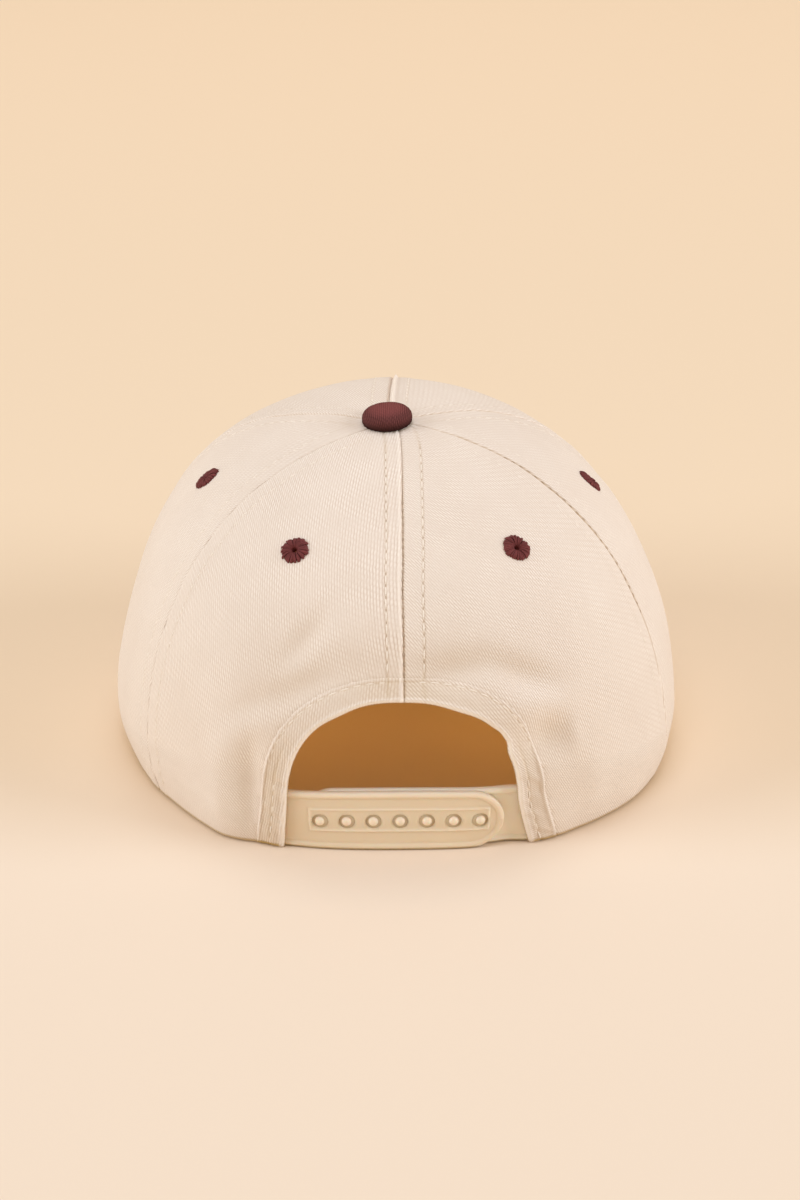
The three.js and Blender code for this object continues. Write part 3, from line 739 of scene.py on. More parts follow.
class Graph:
    """A material's nodes, with short calls for arithmetic."""

    def __init__(self, name, roughness, **settings):
        self.material = bpy.data.materials.new(name)
        self.material.use_nodes = True
        self.nodes = self.material.node_tree.nodes
        self.links = self.material.node_tree.links
        self.shader = self.nodes["Principled BSDF"]
        self.shader.inputs["Roughness"].default_value = roughness
        for socket, value in settings.items():
            self.shader.inputs[socket.replace("_", " ")].default_value = value

    def put(self, socket, value):
        if isinstance(value, bpy.types.NodeSocket):
            self.links.new(value, socket)
        else:
            socket.default_value = value

    def math(self, operation, first, second=0.0):
        node = self.nodes.new("ShaderNodeMath")
        node.operation = operation
        self.put(node.inputs[0], first)
        self.put(node.inputs[1], second)
        return node.outputs[0]

    def weighted(self, value, weight, other):
        """A value times its weight, and another added."""
        return self.math("ADD", self.math("MULTIPLY", value, weight), other)

    def place(self):
        """The place on the object, in metres."""
        return self.nodes.new("ShaderNodeTexCoord").outputs["Object"]

    def parts(self, vector):
        node = self.nodes.new("ShaderNodeSeparateXYZ")
        self.put(node.inputs[0], vector)
        return node.outputs

    def noise(self, vector, scale, detail=2.0, roughness=0.5):
        node = self.nodes.new("ShaderNodeTexNoise")
        self.put(node.inputs["Vector"], vector)
        node.inputs["Scale"].default_value = scale
        node.inputs["Detail"].default_value = detail
        node.inputs["Roughness"].default_value = roughness
        return node.outputs["Fac"]

    def mix(self, share, first, second):
        node = self.nodes.new("ShaderNodeMix")
        node.data_type = "RGBA"
        self.put(node.inputs["Factor"], share)
        self.put(node.inputs["A"], (*first, 1) if isinstance(first, tuple) else first)
        self.put(node.inputs["B"], (*second, 1) if isinstance(second, tuple) else second)
        return node.outputs["Result"]

    def ramp(self, value, ends):
        node = self.nodes.new("ShaderNodeMapRange")
        node.interpolation_type = "SMOOTHSTEP"
        self.put(node.inputs["Value"], value)
        node.inputs["From Min"].default_value = ends[0]
        node.inputs["From Max"].default_value = ends[1]
        return node.outputs[0]

    def toned(self, colour, lighter, darker):
        """Painted highlight where a piece's tone is more than nothing, and painted shade where it is less.
        """
        attribute = self.nodes.new("ShaderNodeAttribute")
        attribute.attribute_name = "tone"
        tone = attribute.outputs["Fac"]
        colour = self.mix(self.math("MAXIMUM", tone, 0.0), colour, lighter)
        return self.mix(self.math("MAXIMUM", self.math("MULTIPLY", tone, -1.0), 0.0), colour, darker)

    def finish(self, colour, height, depth):
        """depth is what a height of 1 stands for, in millimetres."""
        self.put(self.shader.inputs["Base Color"], colour)
        relief = self.nodes.new("ShaderNodeBump")
        relief.inputs["Distance"].default_value = depth * MM
        self.put(relief.inputs["Height"], height)
        self.links.new(relief.outputs["Normal"], self.shader.inputs["Normal"])
        return self.material


def twill_material(name, tints, depth, patchiness, contrast, **settings):
    """Cotton twill: slanted ribs made of short floats, on the cloth's own flat places."""
    graph = Graph(name, ROUGHNESS["cloth"], **settings)
    flat = graph.nodes.new("ShaderNodeUVMap")
    flat.uv_map = "cloth"
    flat = flat.outputs[0]
    x, y, _ = graph.parts(flat)
    cos, sin = cos_sin(RIB_SLANT)
    across = graph.weighted(y, -cos, graph.math("MULTIPLY", x, sin))
    across = graph.weighted(graph.noise(flat, RIB_WOBBLE_SCALE), RIB_WOBBLE, across)
    across = graph.math("DIVIDE", across, RIB_PITCH)
    along = graph.weighted(y, sin, graph.math("MULTIPLY", x, cos))
    along = graph.math("DIVIDE", along, FLOAT_LENGTH)
    along = graph.weighted(graph.math("FLOOR", across), RIB_OFFSET, along)
    round_rib = graph.math("SINE", graph.math("MULTIPLY", graph.math("FRACT", across), math.pi))
    round_float = graph.math("SINE", graph.math("MULTIPLY", graph.math("FRACT", along), math.pi))
    thread = graph.weighted(round_float, FLOAT_DEPTH, 1 - FLOAT_DEPTH)
    weave = graph.math("MULTIPLY", round_rib, thread)
    slub = graph.noise(flat, SLUB_SCALE, 3.0, 0.7)
    patches = graph.noise(flat, PATCH_SCALE, 3.0, 0.6)
    height = graph.weighted(slub, SLUB_HEIGHT, weave)
    clear = graph.ramp(graph.noise(flat, CLEAR_SCALE, 2.0, 0.6), CLEAR_RANGE)
    clear = graph.weighted(clear, contrast[1] - contrast[0], contrast[0])
    share = graph.weighted(graph.math("SUBTRACT", weave, MEAN_WEAVE), clear, MEAN_TINT)
    share = graph.weighted(slub, SLUB_TINT, share)
    share = graph.weighted(graph.math("SUBTRACT", patches, 0.5), patchiness, share)
    colour = graph.mix(share, tints["dark"], tints["light"])
    # Painted highlight and painted shade where the piece's tone says so
    return graph.finish(graph.toned(colour, tints["lighter"], tints["darker"]), height, depth)


def thread_material(name, light, dark, **settings):
    """Sewing thread: fine strands along the stitch, uneven in colour."""
    graph = Graph(name, ROUGHNESS["thread"], **settings)
    place = graph.place()
    strands = graph.noise(place, STRAND_SCALE, 2.0, 0.6)
    uneven = graph.noise(place, UNEVEN_SCALE, 2.0, 0.6)
    share = graph.weighted(strands, STRAND_TINT, graph.math("MULTIPLY", uneven, 1 - STRAND_TINT))
    return graph.finish(graph.mix(share, dark, light), strands, 0.12)


def plastic_material(name, tint):
    """Satin moulded plastic with a very fine grain."""
    graph = Graph(name, ROUGHNESS["plastic"], Subsurface_Weight=0.35, Subsurface_Scale=0.002)
    graph.shader.inputs["Subsurface Radius"].default_value = (1.0, 0.6, 0.35)
    place = graph.place()
    cloud = graph.noise(place, CLOUD_SCALE, 3.0, 0.55)
    grain = graph.noise(place, GRAIN_SCALE, 2.0, 0.6)
    shaded = tuple(0.93 * channel for channel in tint)
    # The cloud is the plastic's own uneven colour; painted highlight and painted shade come from the tone
    colour = graph.toned(graph.mix(cloud, shaded, tint), PLASTIC_LIGHTER, PLASTIC_DARKER)
    return graph.finish(colour, grain, 0.02)


def floor_material():
    """Matte peach paper, with painted shading of its sweep: one colour in front of the cap, another from
    under it on, and a third far behind.
    """
    graph = Graph("floor_paper", ROUGHNESS["paper"], Specular_IOR_Level=0.1)
    place = graph.place()
    depth = graph.parts(place)[1]
    colour = graph.mix(graph.ramp(depth, FLOOR_CHANGE), FLOOR_NEAR, FLOOR_MIDDLE)
    colour = graph.mix(graph.ramp(depth, FLOOR_BACK_CHANGE), colour, FLOOR_BACK)
    return graph.finish(colour, graph.noise(place, PAPER_SCALE), 0.02)


CREAM_SETTINGS = {"Specular_IOR_Level": 0.15, "Sheen_Weight": 0.12, "Sheen_Roughness": 0.5}
cream_twill = twill_material("cream_twill", CREAM, 0.1, 0.25, (0.35, 0.9), **CREAM_SETTINGS)
raisin_twill = twill_material("raisin_twill", RAISIN, 0.2, 0.3, (0.9, 1.2), Specular_IOR_Level=0.1)
cream_thread = thread_material("cream_thread", CREAM_THREAD, CREAM_THREAD_DARK, Specular_IOR_Level=0.3)
shaded_thread = thread_material("shaded_thread", SHADED_THREAD, SHADED_THREAD_DARK, Specular_IOR_Level=0.1)
raisin_thread = thread_material("raisin_thread", RAISIN_THREAD, RAISIN["dark"], Specular_IOR_Level=0.35)
outer_plastic = plastic_material("outer_plastic", PLASTIC_OUTER)
lit_inner_plastic = plastic_material("lit_inner_plastic", PLASTIC_INNER_LIT)
lit_peg_plastic = plastic_material("lit_peg_plastic", PLASTIC_PEG_LIT)


# Stitches


def stitch_points(path, outward, stitch):
    """Rings of points for a row of stitches that follows a path lying on the cloth."""
    pitch, length, radius, phase = stitch["pitch"], stitch["length"], stitch["radius"], stitch["phase"]
    lengths = np.concatenate([[0], np.cumsum(np.linalg.norm(np.diff(path, axis=0), axis=1))])
    count = int(lengths[-1] / pitch)
    middles = (np.arange(count) + phase) * lengths[-1] / max(count, 1)

    def sample(values, places):
        return np.stack([np.interp(places, lengths, values[:, axis]) for axis in range(3)], axis=-1)

    centre = sample(path, middles)
    run = unit(sample(path, middles + length / 2) - sample(path, middles - length / 2))
    up = unit(sample(outward, middles))
    side = unit(np.cross(run, up))
    angles = circle(THREAD_SIDES)
    ring_run = np.repeat(STITCH_SHARES * length / 2, THREAD_SIDES)
    ring_side = (STITCH_SWELL[:, None] * np.cos(angles) * radius).ravel()
    ring_up = STITCH_SWELL[:, None] * np.sin(angles) * radius * 0.8 + STITCH_LIFT[:, None] * radius
    points = (
        centre[:, None]
        + run[:, None] * ring_run[None, :, None]
        + side[:, None] * ring_side[None, :, None]
        + up[:, None] * ring_up.ravel()[None, :, None]
    )
    return points.reshape(-1, 3), count


def make_stitches(name, rows, material, stitch):
    """One piece with every stitch of some rows, each a path with its outward directions."""
    points, counts = zip(*(stitch_points(path, outward, stitch) for path, outward in rows))
    faces = tube_faces(sum(counts), len(STITCH_SHARES), THREAD_SIDES)
    return make_piece(name, np.concatenate(points), faces, material)


# Opening


def arch_point(side, t):
    """A point of the opening's edge as X and height; t runs from 0 at the top to 1 at the foot."""
    turn = np.minimum(t / ARCH_ROUND_SHARE, 1) * math.pi / 2
    leg = np.maximum(0, (t - ARCH_ROUND_SHARE) / (1 - ARCH_ROUND_SHARE))
    power = 2 / side["fullness"]
    below = np.maximum(0, (t - ARCH_SPLAY_START) / (1 - ARCH_SPLAY_START))
    reach = side["width"] * np.sin(turn) ** power + side["splay"] * below**ARCH_SPLAY_POWER
    rise = (ARCH_TOP - ARCH_SHOULDER) * np.maximum(0, np.cos(turn)) ** power
    x = ARCH_CENTRE_X + side["direction"] * reach
    return np.stack([x, rise + ARCH_SHOULDER * (1 - leg)], axis=-1)


def hem_width(t):
    return HEM_TOP_WIDTH + (HEM_LEG_WIDTH - HEM_TOP_WIDTH) * np.minimum(1, t / ARCH_ROUND_SHARE)


def beside_arch(side, t, outset):
    step = 0.004
    direction = side["direction"]
    run = unit(arch_point(side, np.minimum(1, t + step)) - arch_point(side, np.maximum(0, t - step)))
    away = np.stack([-run[..., 1] * direction, run[..., 0] * direction], axis=-1)
    leg = np.maximum(0, (t - ARCH_ROUND_SHARE) / (1 - ARCH_ROUND_SHARE))[..., None]
    away = away + (np.array([direction, 0.0]) - away) * leg
    top = np.maximum(0, 1 - t / 0.06)[..., None]
    away = unit(away + (np.array([0.0, 1.0]) - away) * top)
    return arch_point(side, t) + away * outset[..., None]


def arch_line(shares, outset):
    """Points beside the whole opening; shares run from -1, the left foot, to 1, the right foot."""
    t = np.abs(shares)
    for middle, reach, inset in ARCH_KINKS:
        fade = np.clip(1 - outset / HEM_TOP_WIDTH, 0, 1)
        outset = outset - inset * fade * bell(shares, middle, reach)
    left = beside_arch(ARCH_SIDES["left"], t, outset + 0 * t)
    right = beside_arch(ARCH_SIDES["right"], t, outset + 0 * t)
    return np.where((shares < 0)[..., None], left, right)


def inside_outline(points, outline):
    """Which of the flat points lie inside a closed outline."""
    inside = np.zeros(points.shape[:-1], bool)
    for start, end in zip(outline, np.roll(outline, -1, axis=0)):
        crosses = (start[1] > points[..., 1]) != (end[1] > points[..., 1])
        rise = end[1] - start[1] if end[1] != start[1] else 1
        at = start[0] + (points[..., 1] - start[1]) / rise * (end[0] - start[0])
        inside ^= crosses & (points[..., 0] < at)
    return inside


def opening_outline(lap):
    """A line this far inside the hem's outer edge."""
    shares = np.linspace(-1, 1, 81)
    line = arch_line(shares, hem_width(np.abs(shares)) - lap)
    return np.concatenate([[[line[0][0], -5]], line, [[line[-1][0], -5]]])


# Panels


def seam_shape_and_shade(seam, side, distance, height):
    """How the cloth rises and falls beside a seam, and its painted shade and painted highlight there."""
    finish = SEAMS[seam]
    row = finish["rows"][side]
    start, end, loss = finish["top_fade"]
    top_fade = 1 - loss * smoothstep(height, start, end)
    left = finish["left_at_rim"]
    rim_fade = left + (1 - left) * smoothstep(height, *SEAM_LINE_FADE)
    edge = bell(distance, EDGE_MIDDLE, EDGE_WIDTH)
    groove = finish["row_depth"] * bell(distance, row, ROW_WIDTH)
    fall = -finish["sink"] * top_fade * np.exp(-((distance / finish["width"]) ** FALL_POWER))
    allowance = ALLOWANCE_RISE * (1 - smoothstep(distance - row, *ALLOWANCE_END))
    relief = fall + finish["proud"][side] * edge + allowance - groove
    # Painted shade along the seam's line and in the row's groove, and a painted highlight on the folded edge
    line = -finish["line"] * rim_fade * top_fade * bell(distance, 0, finish["width"])
    return relief, line + finish["light"][side] * edge - ROW_SHADE * groove


def rim_rounding(height):
    share = np.clip(height / RIM_ROUND, 0, 1)
    return RIM_ROUND * (1 - np.sqrt(1 - (1 - share) ** 2))


def rim_tone(height):
    """The turned-under edge at the rim, which lies in its own shade."""
    return -RIM_SHADE * (1 - smoothstep(height, *RIM_SHADE_REACH))


def turned_flat(flat, degrees):
    cos, sin = cos_sin(degrees)
    return flat @ np.array([[cos, sin], [-sin, cos]])


def panel_uv(azimuth, along, middle, grain):
    radius = profile_at(PROFILES["side"], along)[0]
    flat = np.stack([np.radians(azimuth - middle) * radius, MEAN_LENGTH * (1 - along)], axis=-1)
    return turned_flat(flat, grain)


def crowded(spread, width):
    """Packs columns closely beside the seams and widely between; width is the panel's own."""
    zone = np.minimum(SEAM_ZONE / width, SEAM_ZONE_SHARE)
    beside = np.minimum(spread, 1 - spread)
    near = beside * zone / SEAM_ZONE_COLUMNS
    far = zone + (beside - SEAM_ZONE_COLUMNS) * (0.5 - zone) / (0.5 - SEAM_ZONE_COLUMNS)
    share = np.where(beside < SEAM_ZONE_COLUMNS, near, far)
    return np.where(spread < 0.5, share, 1 - share)


def make_panel(place):
    first, second, eyelet, grain = PANELS[place]
    top = DOME_SHARE * math.asin(APEX_HOLE_RADIUS / PROFILES["side"]["widest"]) / (math.pi / 2)
    down = 1 - (1 - np.linspace(0, 1, PANEL_ROWS + 1)) ** RIM_CROWDING
    spread, along = np.meshgrid(np.linspace(0, 1, PANEL_COLUMNS + 1), top + (1 - top) * down)
    radius = profile_at(PROFILES["side"], along)[0]
    gap = np.degrees(SEAM_GAP / 2 / radius)
    start = seam_azimuth(first, along) + gap
    end = seam_azimuth(second, along) - gap
    end = end + 360 * (end < start)
    azimuth = start + (end - start) * crowded(spread, np.radians(end - start) * radius)
    smooth = crown_point(azimuth, along)
    relief = 0
    # Painted shade in the fold valleys, along the seams, in the stitch rows and at the rim, and a painted
    # highlight on the seams' folded edges
    tone = VALLEY_SHADE * np.minimum(0, fold_depth(azimuth, smooth[..., 2]))
    for seam, edge, side in ((first, start, AFTER), (second, end, BEFORE)):
        distance = np.linalg.norm(smooth - crown_point(edge, along), axis=-1)
        seam_relief, seam_tone = seam_shape_and_shade(seam, side, distance, smooth[..., 2])
        relief = relief + seam_relief
        tone = tone + seam_tone
        pucker = lumps(smooth * PUCKER_STRETCH, PUCKER_SIZE, SEEDS["pucker"][side])
        relief = relief + PUCKER * pucker * np.exp(-distance / PUCKER_REACH)
    above_rim = smooth[..., 2] - rim_height(azimuth)
    relief = relief - rim_rounding(above_rim)
    tone = tone + rim_tone(above_rim)
    if place in CUT_PANELS:
        relief = relief - HEM_SINK * inside_outline(smooth[..., [0, 2]], opening_outline(HEM_SINK_LAP))
    outer = cloth_point(azimuth, along, relief)
    inner = cloth_point(azimuth, along, -CLOTH + 0 * along)
    centre = (smooth[:-1, :-1] + smooth[1:, 1:]) / 2
    keep = np.linalg.norm(centre - crown_point(*map(np.float64, eyelet)), axis=-1) > EYELET_HOLE
    if place in CUT_PANELS:
        keep &= ~inside_outline(centre[..., [0, 2]], opening_outline(HEM_LAP))
    flat = panel_uv(azimuth, along, eyelet[0], grain)
    faces = grid_faces(PANEL_COLUMNS, PANEL_ROWS, keep)
    make_piece(
        f"cloth_{place}", np.stack([outer, inner]), faces, cream_twill,
        uv=np.stack([flat, flat]), tone=np.stack([tone, 0 * tone]), replaces=[f"panel_{place}"], sharp=60,
    )


def seam_row(seam, side, stop, lift=0):
    """A path beside a seam on the cloth, with its outward directions."""
    along = np.linspace(SEAM_ROW_START, stop, SEAM_STATIONS)
    distance = SEAMS[seam]["rows"][side] * (1 if side == AFTER else -1)
    azimuth = beside_seam(seam, along, distance)
    outset = ROW_THREAD + SEAMS[seam]["thread"] - SEAMS[seam]["row_depth"] + lift
    return cloth_point(azimuth, along, outset + 0 * along), crown_normal(azimuth, along)


def ditch_row(seam, start, stop):
    """The path of the thread that closes a seam, down between its two edges."""
    along = np.linspace(start, stop, SEAM_STATIONS)
    azimuth = seam_azimuth(seam, along)
    outset = ALLOWANCE_RISE - DITCH_SINK
    return cloth_point(azimuth, along, outset + 0 * along), crown_normal(azimuth, along)


def make_seam_stitches():
    back_stop = place_on_back(ARCH_CENTRE_X, ARCH_TOP + HEM_TOP_WIDTH + BACK_ROWS_CLEARANCE)[1]
    for seam, finish in SEAMS.items():
        stop = float(back_stop) if seam == "back" else SEAM_ROW_STOP
        rows = [seam_row(seam, side, stop) for side in (BEFORE, AFTER)]
        make_stitches(f"stitches_{seam}", rows, cream_thread, STITCH)
        if finish["thread"] > 0:
            # Dark beads between the stitches, as painted shade in the needle holes
            rows = [seam_row(seam, side, stop, NEEDLE_HOLE_SHADE_LIFT) for side in (BEFORE, AFTER)]
            make_stitches(f"needle_hole_shades_{seam}", rows, shaded_thread, NEEDLE_HOLE_SHADE)
        if finish["ditch"]:
            start, stop_height = finish["ditch"]
            stop = float(along_at_height(np.float64(finish["azimuth"]), stop_height))
            row = ditch_row(seam, start, stop)
            # The closing thread in the ditch is real, but it is drawn in the shaded thread, as painted shade
            make_stitches(f"ditch_{seam}", [row], shaded_thread, DITCH_STITCH)


# Hem of the opening


def hem_shape_and_shade(distance, shares):
    """The relief of the hem's seen face this far from the opening's edge, and its light and shade.

    The hem has painted shade that makes it a little darker than the panels, a painted highlight on its rim
    and ridge and painted shade in its rows. On the legs it is sunk between its row and its ridge, and it
    lies flatter again at the feet.
    """
    far = np.abs(shares)
    beyond = hem_width(far) - distance
    leg = smoothstep(far, *HEM_LEGS_START)
    foot = smoothstep(far, *HEM_FOOT)
    raised = leg * (1 - foot)
    leg_row = np.where(shares < 0, HEM_LEG_ROWS["left"], HEM_LEG_ROWS["right"])
    past_row = smoothstep(distance, leg_row, leg_row + HEM_BAND["run_in"])
    past_row = past_row * smoothstep(beyond, *HEM_BAND["run_out"])
    leg_groove = bell(distance, leg_row, HEM_LEG_GROOVE["width"])
    top_groove = (1 - leg) * bell(beyond, HEM_ROW, HEM_TOP_GROOVE["width"])
    sunk = HEM_BAND["depth"] * past_row + HEM_LEG_GROOVE["depth"] * leg_groove
    sunk = -leg * (1 - HEM_BAND["foot_loss"] * foot) * sunk - HEM_TOP_GROOVE["depth"] * top_groove
    ridge, ridge_light = (
        bump(beyond, grown(part["rise"], raised), part["middle"], part["width"])
        for part in (HEM_RIDGE, HEM_RIDGE_LIGHT)
    )
    rolled = -HEM_ROLL["depth"] * np.exp(-np.maximum(0, distance) / HEM_ROLL["reach"])
    drop = -grown(HEM_DROP["depth"], foot) * (1 - smoothstep(beyond, *HEM_DROP["run"]))
    relief = grown(HEM_RISE, raised) + sunk + ridge + rolled + bump(distance, *HEM_LIP) + drop
    shade = np.where(shares < 0, HEM_SHADE["left"], HEM_SHADE["right"]) + HEM_BAND["shade"] * past_row
    top_shade = HEM_SHADE["top"] + bump(shares, *HEM_MIDDLE_SHADE)
    light = bump(distance, *HEM_RIM_LIGHT) + ridge_light
    groove = HEM_LEG_GROOVE["shade"] * leg * (1 - HEM_LEG_GROOVE["foot_loss"] * foot) * leg_groove
    groove = groove + HEM_TOP_GROOVE["shade"] * top_groove
    return relief, light - shade * leg - top_shade * (1 - leg) - groove


def hem_uv(azimuth, along):
    """The weave's flat places, turned as on the panel that the hem lies on."""
    right = azimuth > seam_azimuth("back", along)
    left_flat = panel_uv(azimuth, along, 0, HEM_GRAINS["left"])
    right_flat = panel_uv(azimuth, along, 0, HEM_GRAINS["right"])
    return np.where(right[..., None], right_flat, left_flat)


def make_hem():
    side_shares = np.linspace(HEM_FINE_SHARE, 1, ARCH_STATIONS)
    middle_shares = np.linspace(-HEM_FINE_SHARE, HEM_FINE_SHARE, HEM_FINE_STATIONS)
    shares = np.concatenate([-side_shares[::-1], middle_shares[1:-1], side_shares])
    width = hem_width(np.abs(shares))
    legs = smoothstep(np.abs(shares), *HEM_LEGS_START)
    close = np.linspace(0, HEM_ROUNDED_SHARE, HEM_CLOSE_RINGS)[:-1]
    wide = np.linspace(HEM_ROUNDED_SHARE, HEM_OUTER_SHARE, HEM_WIDE_RINGS)
    rings = []
    flats = []
    tones = []

    def add_ring(distance, outset, tone=0):
        line = arch_line(shares, distance)
        azimuth, along = place_on_back(line[:, 0], np.maximum(0, line[:, 1]))
        smooth = crown_point(azimuth, along)
        if outset is None:
            height = smooth[:, 2]
            relief, tone = hem_shape_and_shade(distance, shares)
            edge = HEM_WRINKLE["edge"] * np.exp(-distance / HEM_WRINKLE["edge_reach"])
            wrinkle = HEM_WRINKLE["top"] + HEM_WRINKLE["legs"] * legs + edge
            wrinkle = wrinkle * (1 - bump(width - distance, *HEM_SMOOTH_EDGE))
            outset = relief + HEM_LUMPS["depth"] * lumps(smooth, HEM_LUMPS["size"], SEEDS["hem"])
            slanted = smooth @ WRINKLE_SLANT * WRINKLE_STRETCH
            outset = outset + wrinkle * lumps(slanted, WRINKLE_SIZE, SEEDS["wrinkle"])
            outset = outset - rim_rounding(height)
            seam = seam_azimuth("back", along)
            reach = np.linalg.norm(smooth - crown_point(seam, along), axis=-1)
            before, after = (seam_shape_and_shade("back", side, reach, height) for side in (BEFORE, AFTER))
            outset = outset + np.where(azimuth > seam, after[0], before[0])
            tone = tone + np.where(azimuth > seam, after[1], before[1]) + rim_tone(height)
        rings.append(cloth_point(azimuth, along, outset))
        flats.append(hem_uv(azimuth, along))
        tones.append(tone + 0 * azimuth)

    for share in np.concatenate([close, wide])[::-1]:
        add_ring(share * width, None)
    # Painted shade on the fold at the opening's edge and on the turned-in rings
    add_ring(-HEM_DARK_RIM + 0 * width, **HEM_FOLD)
    for distance, outset in HEM_TURNED_IN:
        add_ring(distance + 0 * width, outset, HEM_INSIDE_SHADE)
    for distance, outset in HEM_TURNED_BACK:
        add_ring(width + distance, outset)
    faces = tube_faces(1, len(shares), len(rings))
    make_piece(
        "hem_cloth", np.stack(rings, axis=1), faces, cream_twill,
        uv=np.stack(flats, axis=1), tone=np.stack(tones, axis=1), replaces=["opening_hem"], sharp=70,
    )
    top = np.abs(shares) < HEM_LEGS_START[1]
    leg = ~top & (np.abs(shares) < HEM_END_SHARE)
    rows = []
    for distance, part, lift in (
        (width - HEM_ROW, top, HEM_THREAD_LIFTS["top"]),
        (HEM_LEG_ROWS["left"] + 0 * width, leg & (shares < 0), HEM_THREAD_LIFTS["legs"]),
        (HEM_LEG_ROWS["right"] + 0 * width, leg & (shares > 0), HEM_THREAD_LIFTS["legs"]),
    ):
        line = arch_line(shares, distance)[part]
        azimuth, along = place_on_back(line[:, 0], line[:, 1])
        rows.append((cloth_point(azimuth, along, lift + 0 * along), crown_normal(azimuth, along)))
    make_stitches("stitches_hem", rows, cream_thread, STITCH)


# Eyelets


def frame_at(outward):
    """Two directions across the cloth, and the outward one."""
    side = unit(np.cross([0.0, 0.0, 1.0], outward))
    return np.stack([side, np.cross(outward, side), outward])


def make_eyelet(place, seed):
    """Radial stitches over the edge of a vent hole, packed side by side."""
    random = np.random.default_rng(seed)
    azimuth, along = map(np.float64, PANELS[place][2])
    centre = cloth_point(azimuth, along, np.float64(0))
    axes = frame_at(crown_normal(azimuth, along))
    count = EYELET_THREADS
    angles = (np.arange(count) + random.uniform(*EYELET_UNEVEN["spacing"], count)) * 2 * math.pi / count
    reach = EYELET_RADIUS * random.uniform(*EYELET_UNEVEN["reach"], count)
    lift = random.uniform(*EYELET_UNEVEN["lift"], count) * EYELET_RISE
    out = EYELET_BORE + EYELET_SHARES[None, :] * (reach[:, None] - EYELET_BORE)
    up = EYELET_HEIGHTS[None, :] * lift[:, None]
    thick = np.clip(out * math.pi / count * EYELET_PACKING, *EYELET_THICKNESS) * EYELET_SLIMMING
    turns = circle(THREAD_SIDES)
    slide = thick[..., None] * np.cos(turns)
    rise = up[..., None] + thick[..., None] * np.sin(turns) * EYELET_FLATNESS
    cos, sin = np.cos(angles)[:, None, None], np.sin(angles)[:, None, None]
    x = out[..., None] * cos - slide * sin
    y = out[..., None] * sin + slide * cos
    threads = np.stack([x, y, rise], axis=-1).reshape(-1, 3)
    bed = turned_points(EYELET_BED_RADII, EYELET_BED_HEIGHTS, circle(EYELET_BED_SIDES)[:, None])
    bed_faces = ring_faces(EYELET_BED_SIDES, len(EYELET_BED_RADII), closed=True) + len(threads)
    squeeze = EYELET_SQUEEZE.get(place, 1)
    local = np.concatenate([threads, bed.reshape(-1, 3)]) * [squeeze, 1, (1 + squeeze) / 2]
    faces = tube_faces(count, len(EYELET_SHARES), THREAD_SIDES) + bed_faces.tolist()
    make_piece(
        f"thread_ring_{place}", local @ axes + centre, faces, raisin_thread,
        replaces=[f"eyelet_{place}"], sharp=80,
    )


# Top button


def make_button():
    """Twill pulled over a domed button, gathered under its edge."""
    radii, heights = BUTTON_OUTLINE.T
    around = circle(BUTTON_SIDES)[:, None]
    radius = radii + 0 * around
    low = smoothstep(-heights, *BUTTON_GATHERS["run"]) * (radius > 3)
    gathers = np.sin(BUTTON_GATHERS["count"] * around + 2 * np.sin(3 * around))
    radius = radius + BUTTON_GATHERS["depth"] * low * gathers
    local = turned_points(radius, heights, around)
    uneven = lumps(local, BUTTON_LUMPS["size"], SEEDS["button"])
    local[..., 2] += BUTTON_LUMPS["depth"] * uneven * (heights > 1)
    height = local[..., 2]
    cos, sin = cos_sin(BUTTON_TILT)
    outward = np.array([-sin, 0, cos])
    side = np.array([cos, 0, sin])
    axes = np.stack([side, np.cross(outward, side), outward])
    points = (local.reshape(-1, 3) @ axes) + [TOP_LEAN, 0, CROWN_HEIGHT]
    arc = np.concatenate([[0], np.cumsum(np.linalg.norm(np.diff(BUTTON_OUTLINE, axis=0), axis=1))])
    arc = arc[-1] - arc
    flat = np.stack([arc * np.cos(around), arc * np.sin(around)], axis=-1)
    flat = turned_flat(flat * BUTTON_WEAVE, BUTTON_GRAIN)
    # Painted highlight on the button's top and painted shade low down under its edge
    tone = BUTTON_LIGHT["tone"] * smoothstep(height, *BUTTON_LIGHT["run"])
    tone = tone - BUTTON_SHADE["tone"] * (1 - smoothstep(height, *BUTTON_SHADE["run"]))
    faces = ring_faces(BUTTON_SIDES, len(BUTTON_OUTLINE))
    button = make_piece(
        "button_cloth", points, faces, raisin_twill,
        uv=flat, tone=tone, replaces=["top_button"], sharp=80,
    )
    weld(button)


def weld(piece):
    """Joins points that lie on one another, such as a turned shape's points on its axis."""
    work = bmesh.new()
    work.from_mesh(piece.data)
    bmesh.ops.remove_doubles(work, verts=work.verts, dist=WELD_DISTANCE)
    work.to_mesh(piece.data)
    work.free()


# Snap strap


def strap_point(azimuth, height, depth):
    """Both bands follow the inside of the crown at their tails and pull straighter between them."""
    along = along_at_height(azimuth, height)
    tail = cloth_point(azimuth, along, -STRAP_TAIL_INSET - depth)
    bow = (tail[..., 0] - STRAP_MIDDLE_X) ** 2 / (2 * STRAP_BOW_RADIUS)
    free = np.stack([tail[..., 0], STRAP_MIDDLE_Y + bow + depth, height + 0 * bow], axis=-1)
    freedom = np.maximum(0, 1 - (azimuth / STRAP_FREE_AZIMUTH) ** 2) ** 1.5
    return tail + (free - tail) * freedom[..., None]


def snap_places():
    x = SNAP_MIDDLE_X + (np.arange(SNAP_COUNT) - (SNAP_COUNT - 1) / 2) * SNAP_PITCH
    azimuth = place_on_back(x * STRAP_SPREAD, STRAP_HEIGHT / 2)[0]
    level = STRAP_HEIGHT / 2 + 0 * x
    face = strap_point(azimuth, level, 0 * x)
    return x, face, unit(face - strap_point(azimuth, level, 1 + 0 * x))


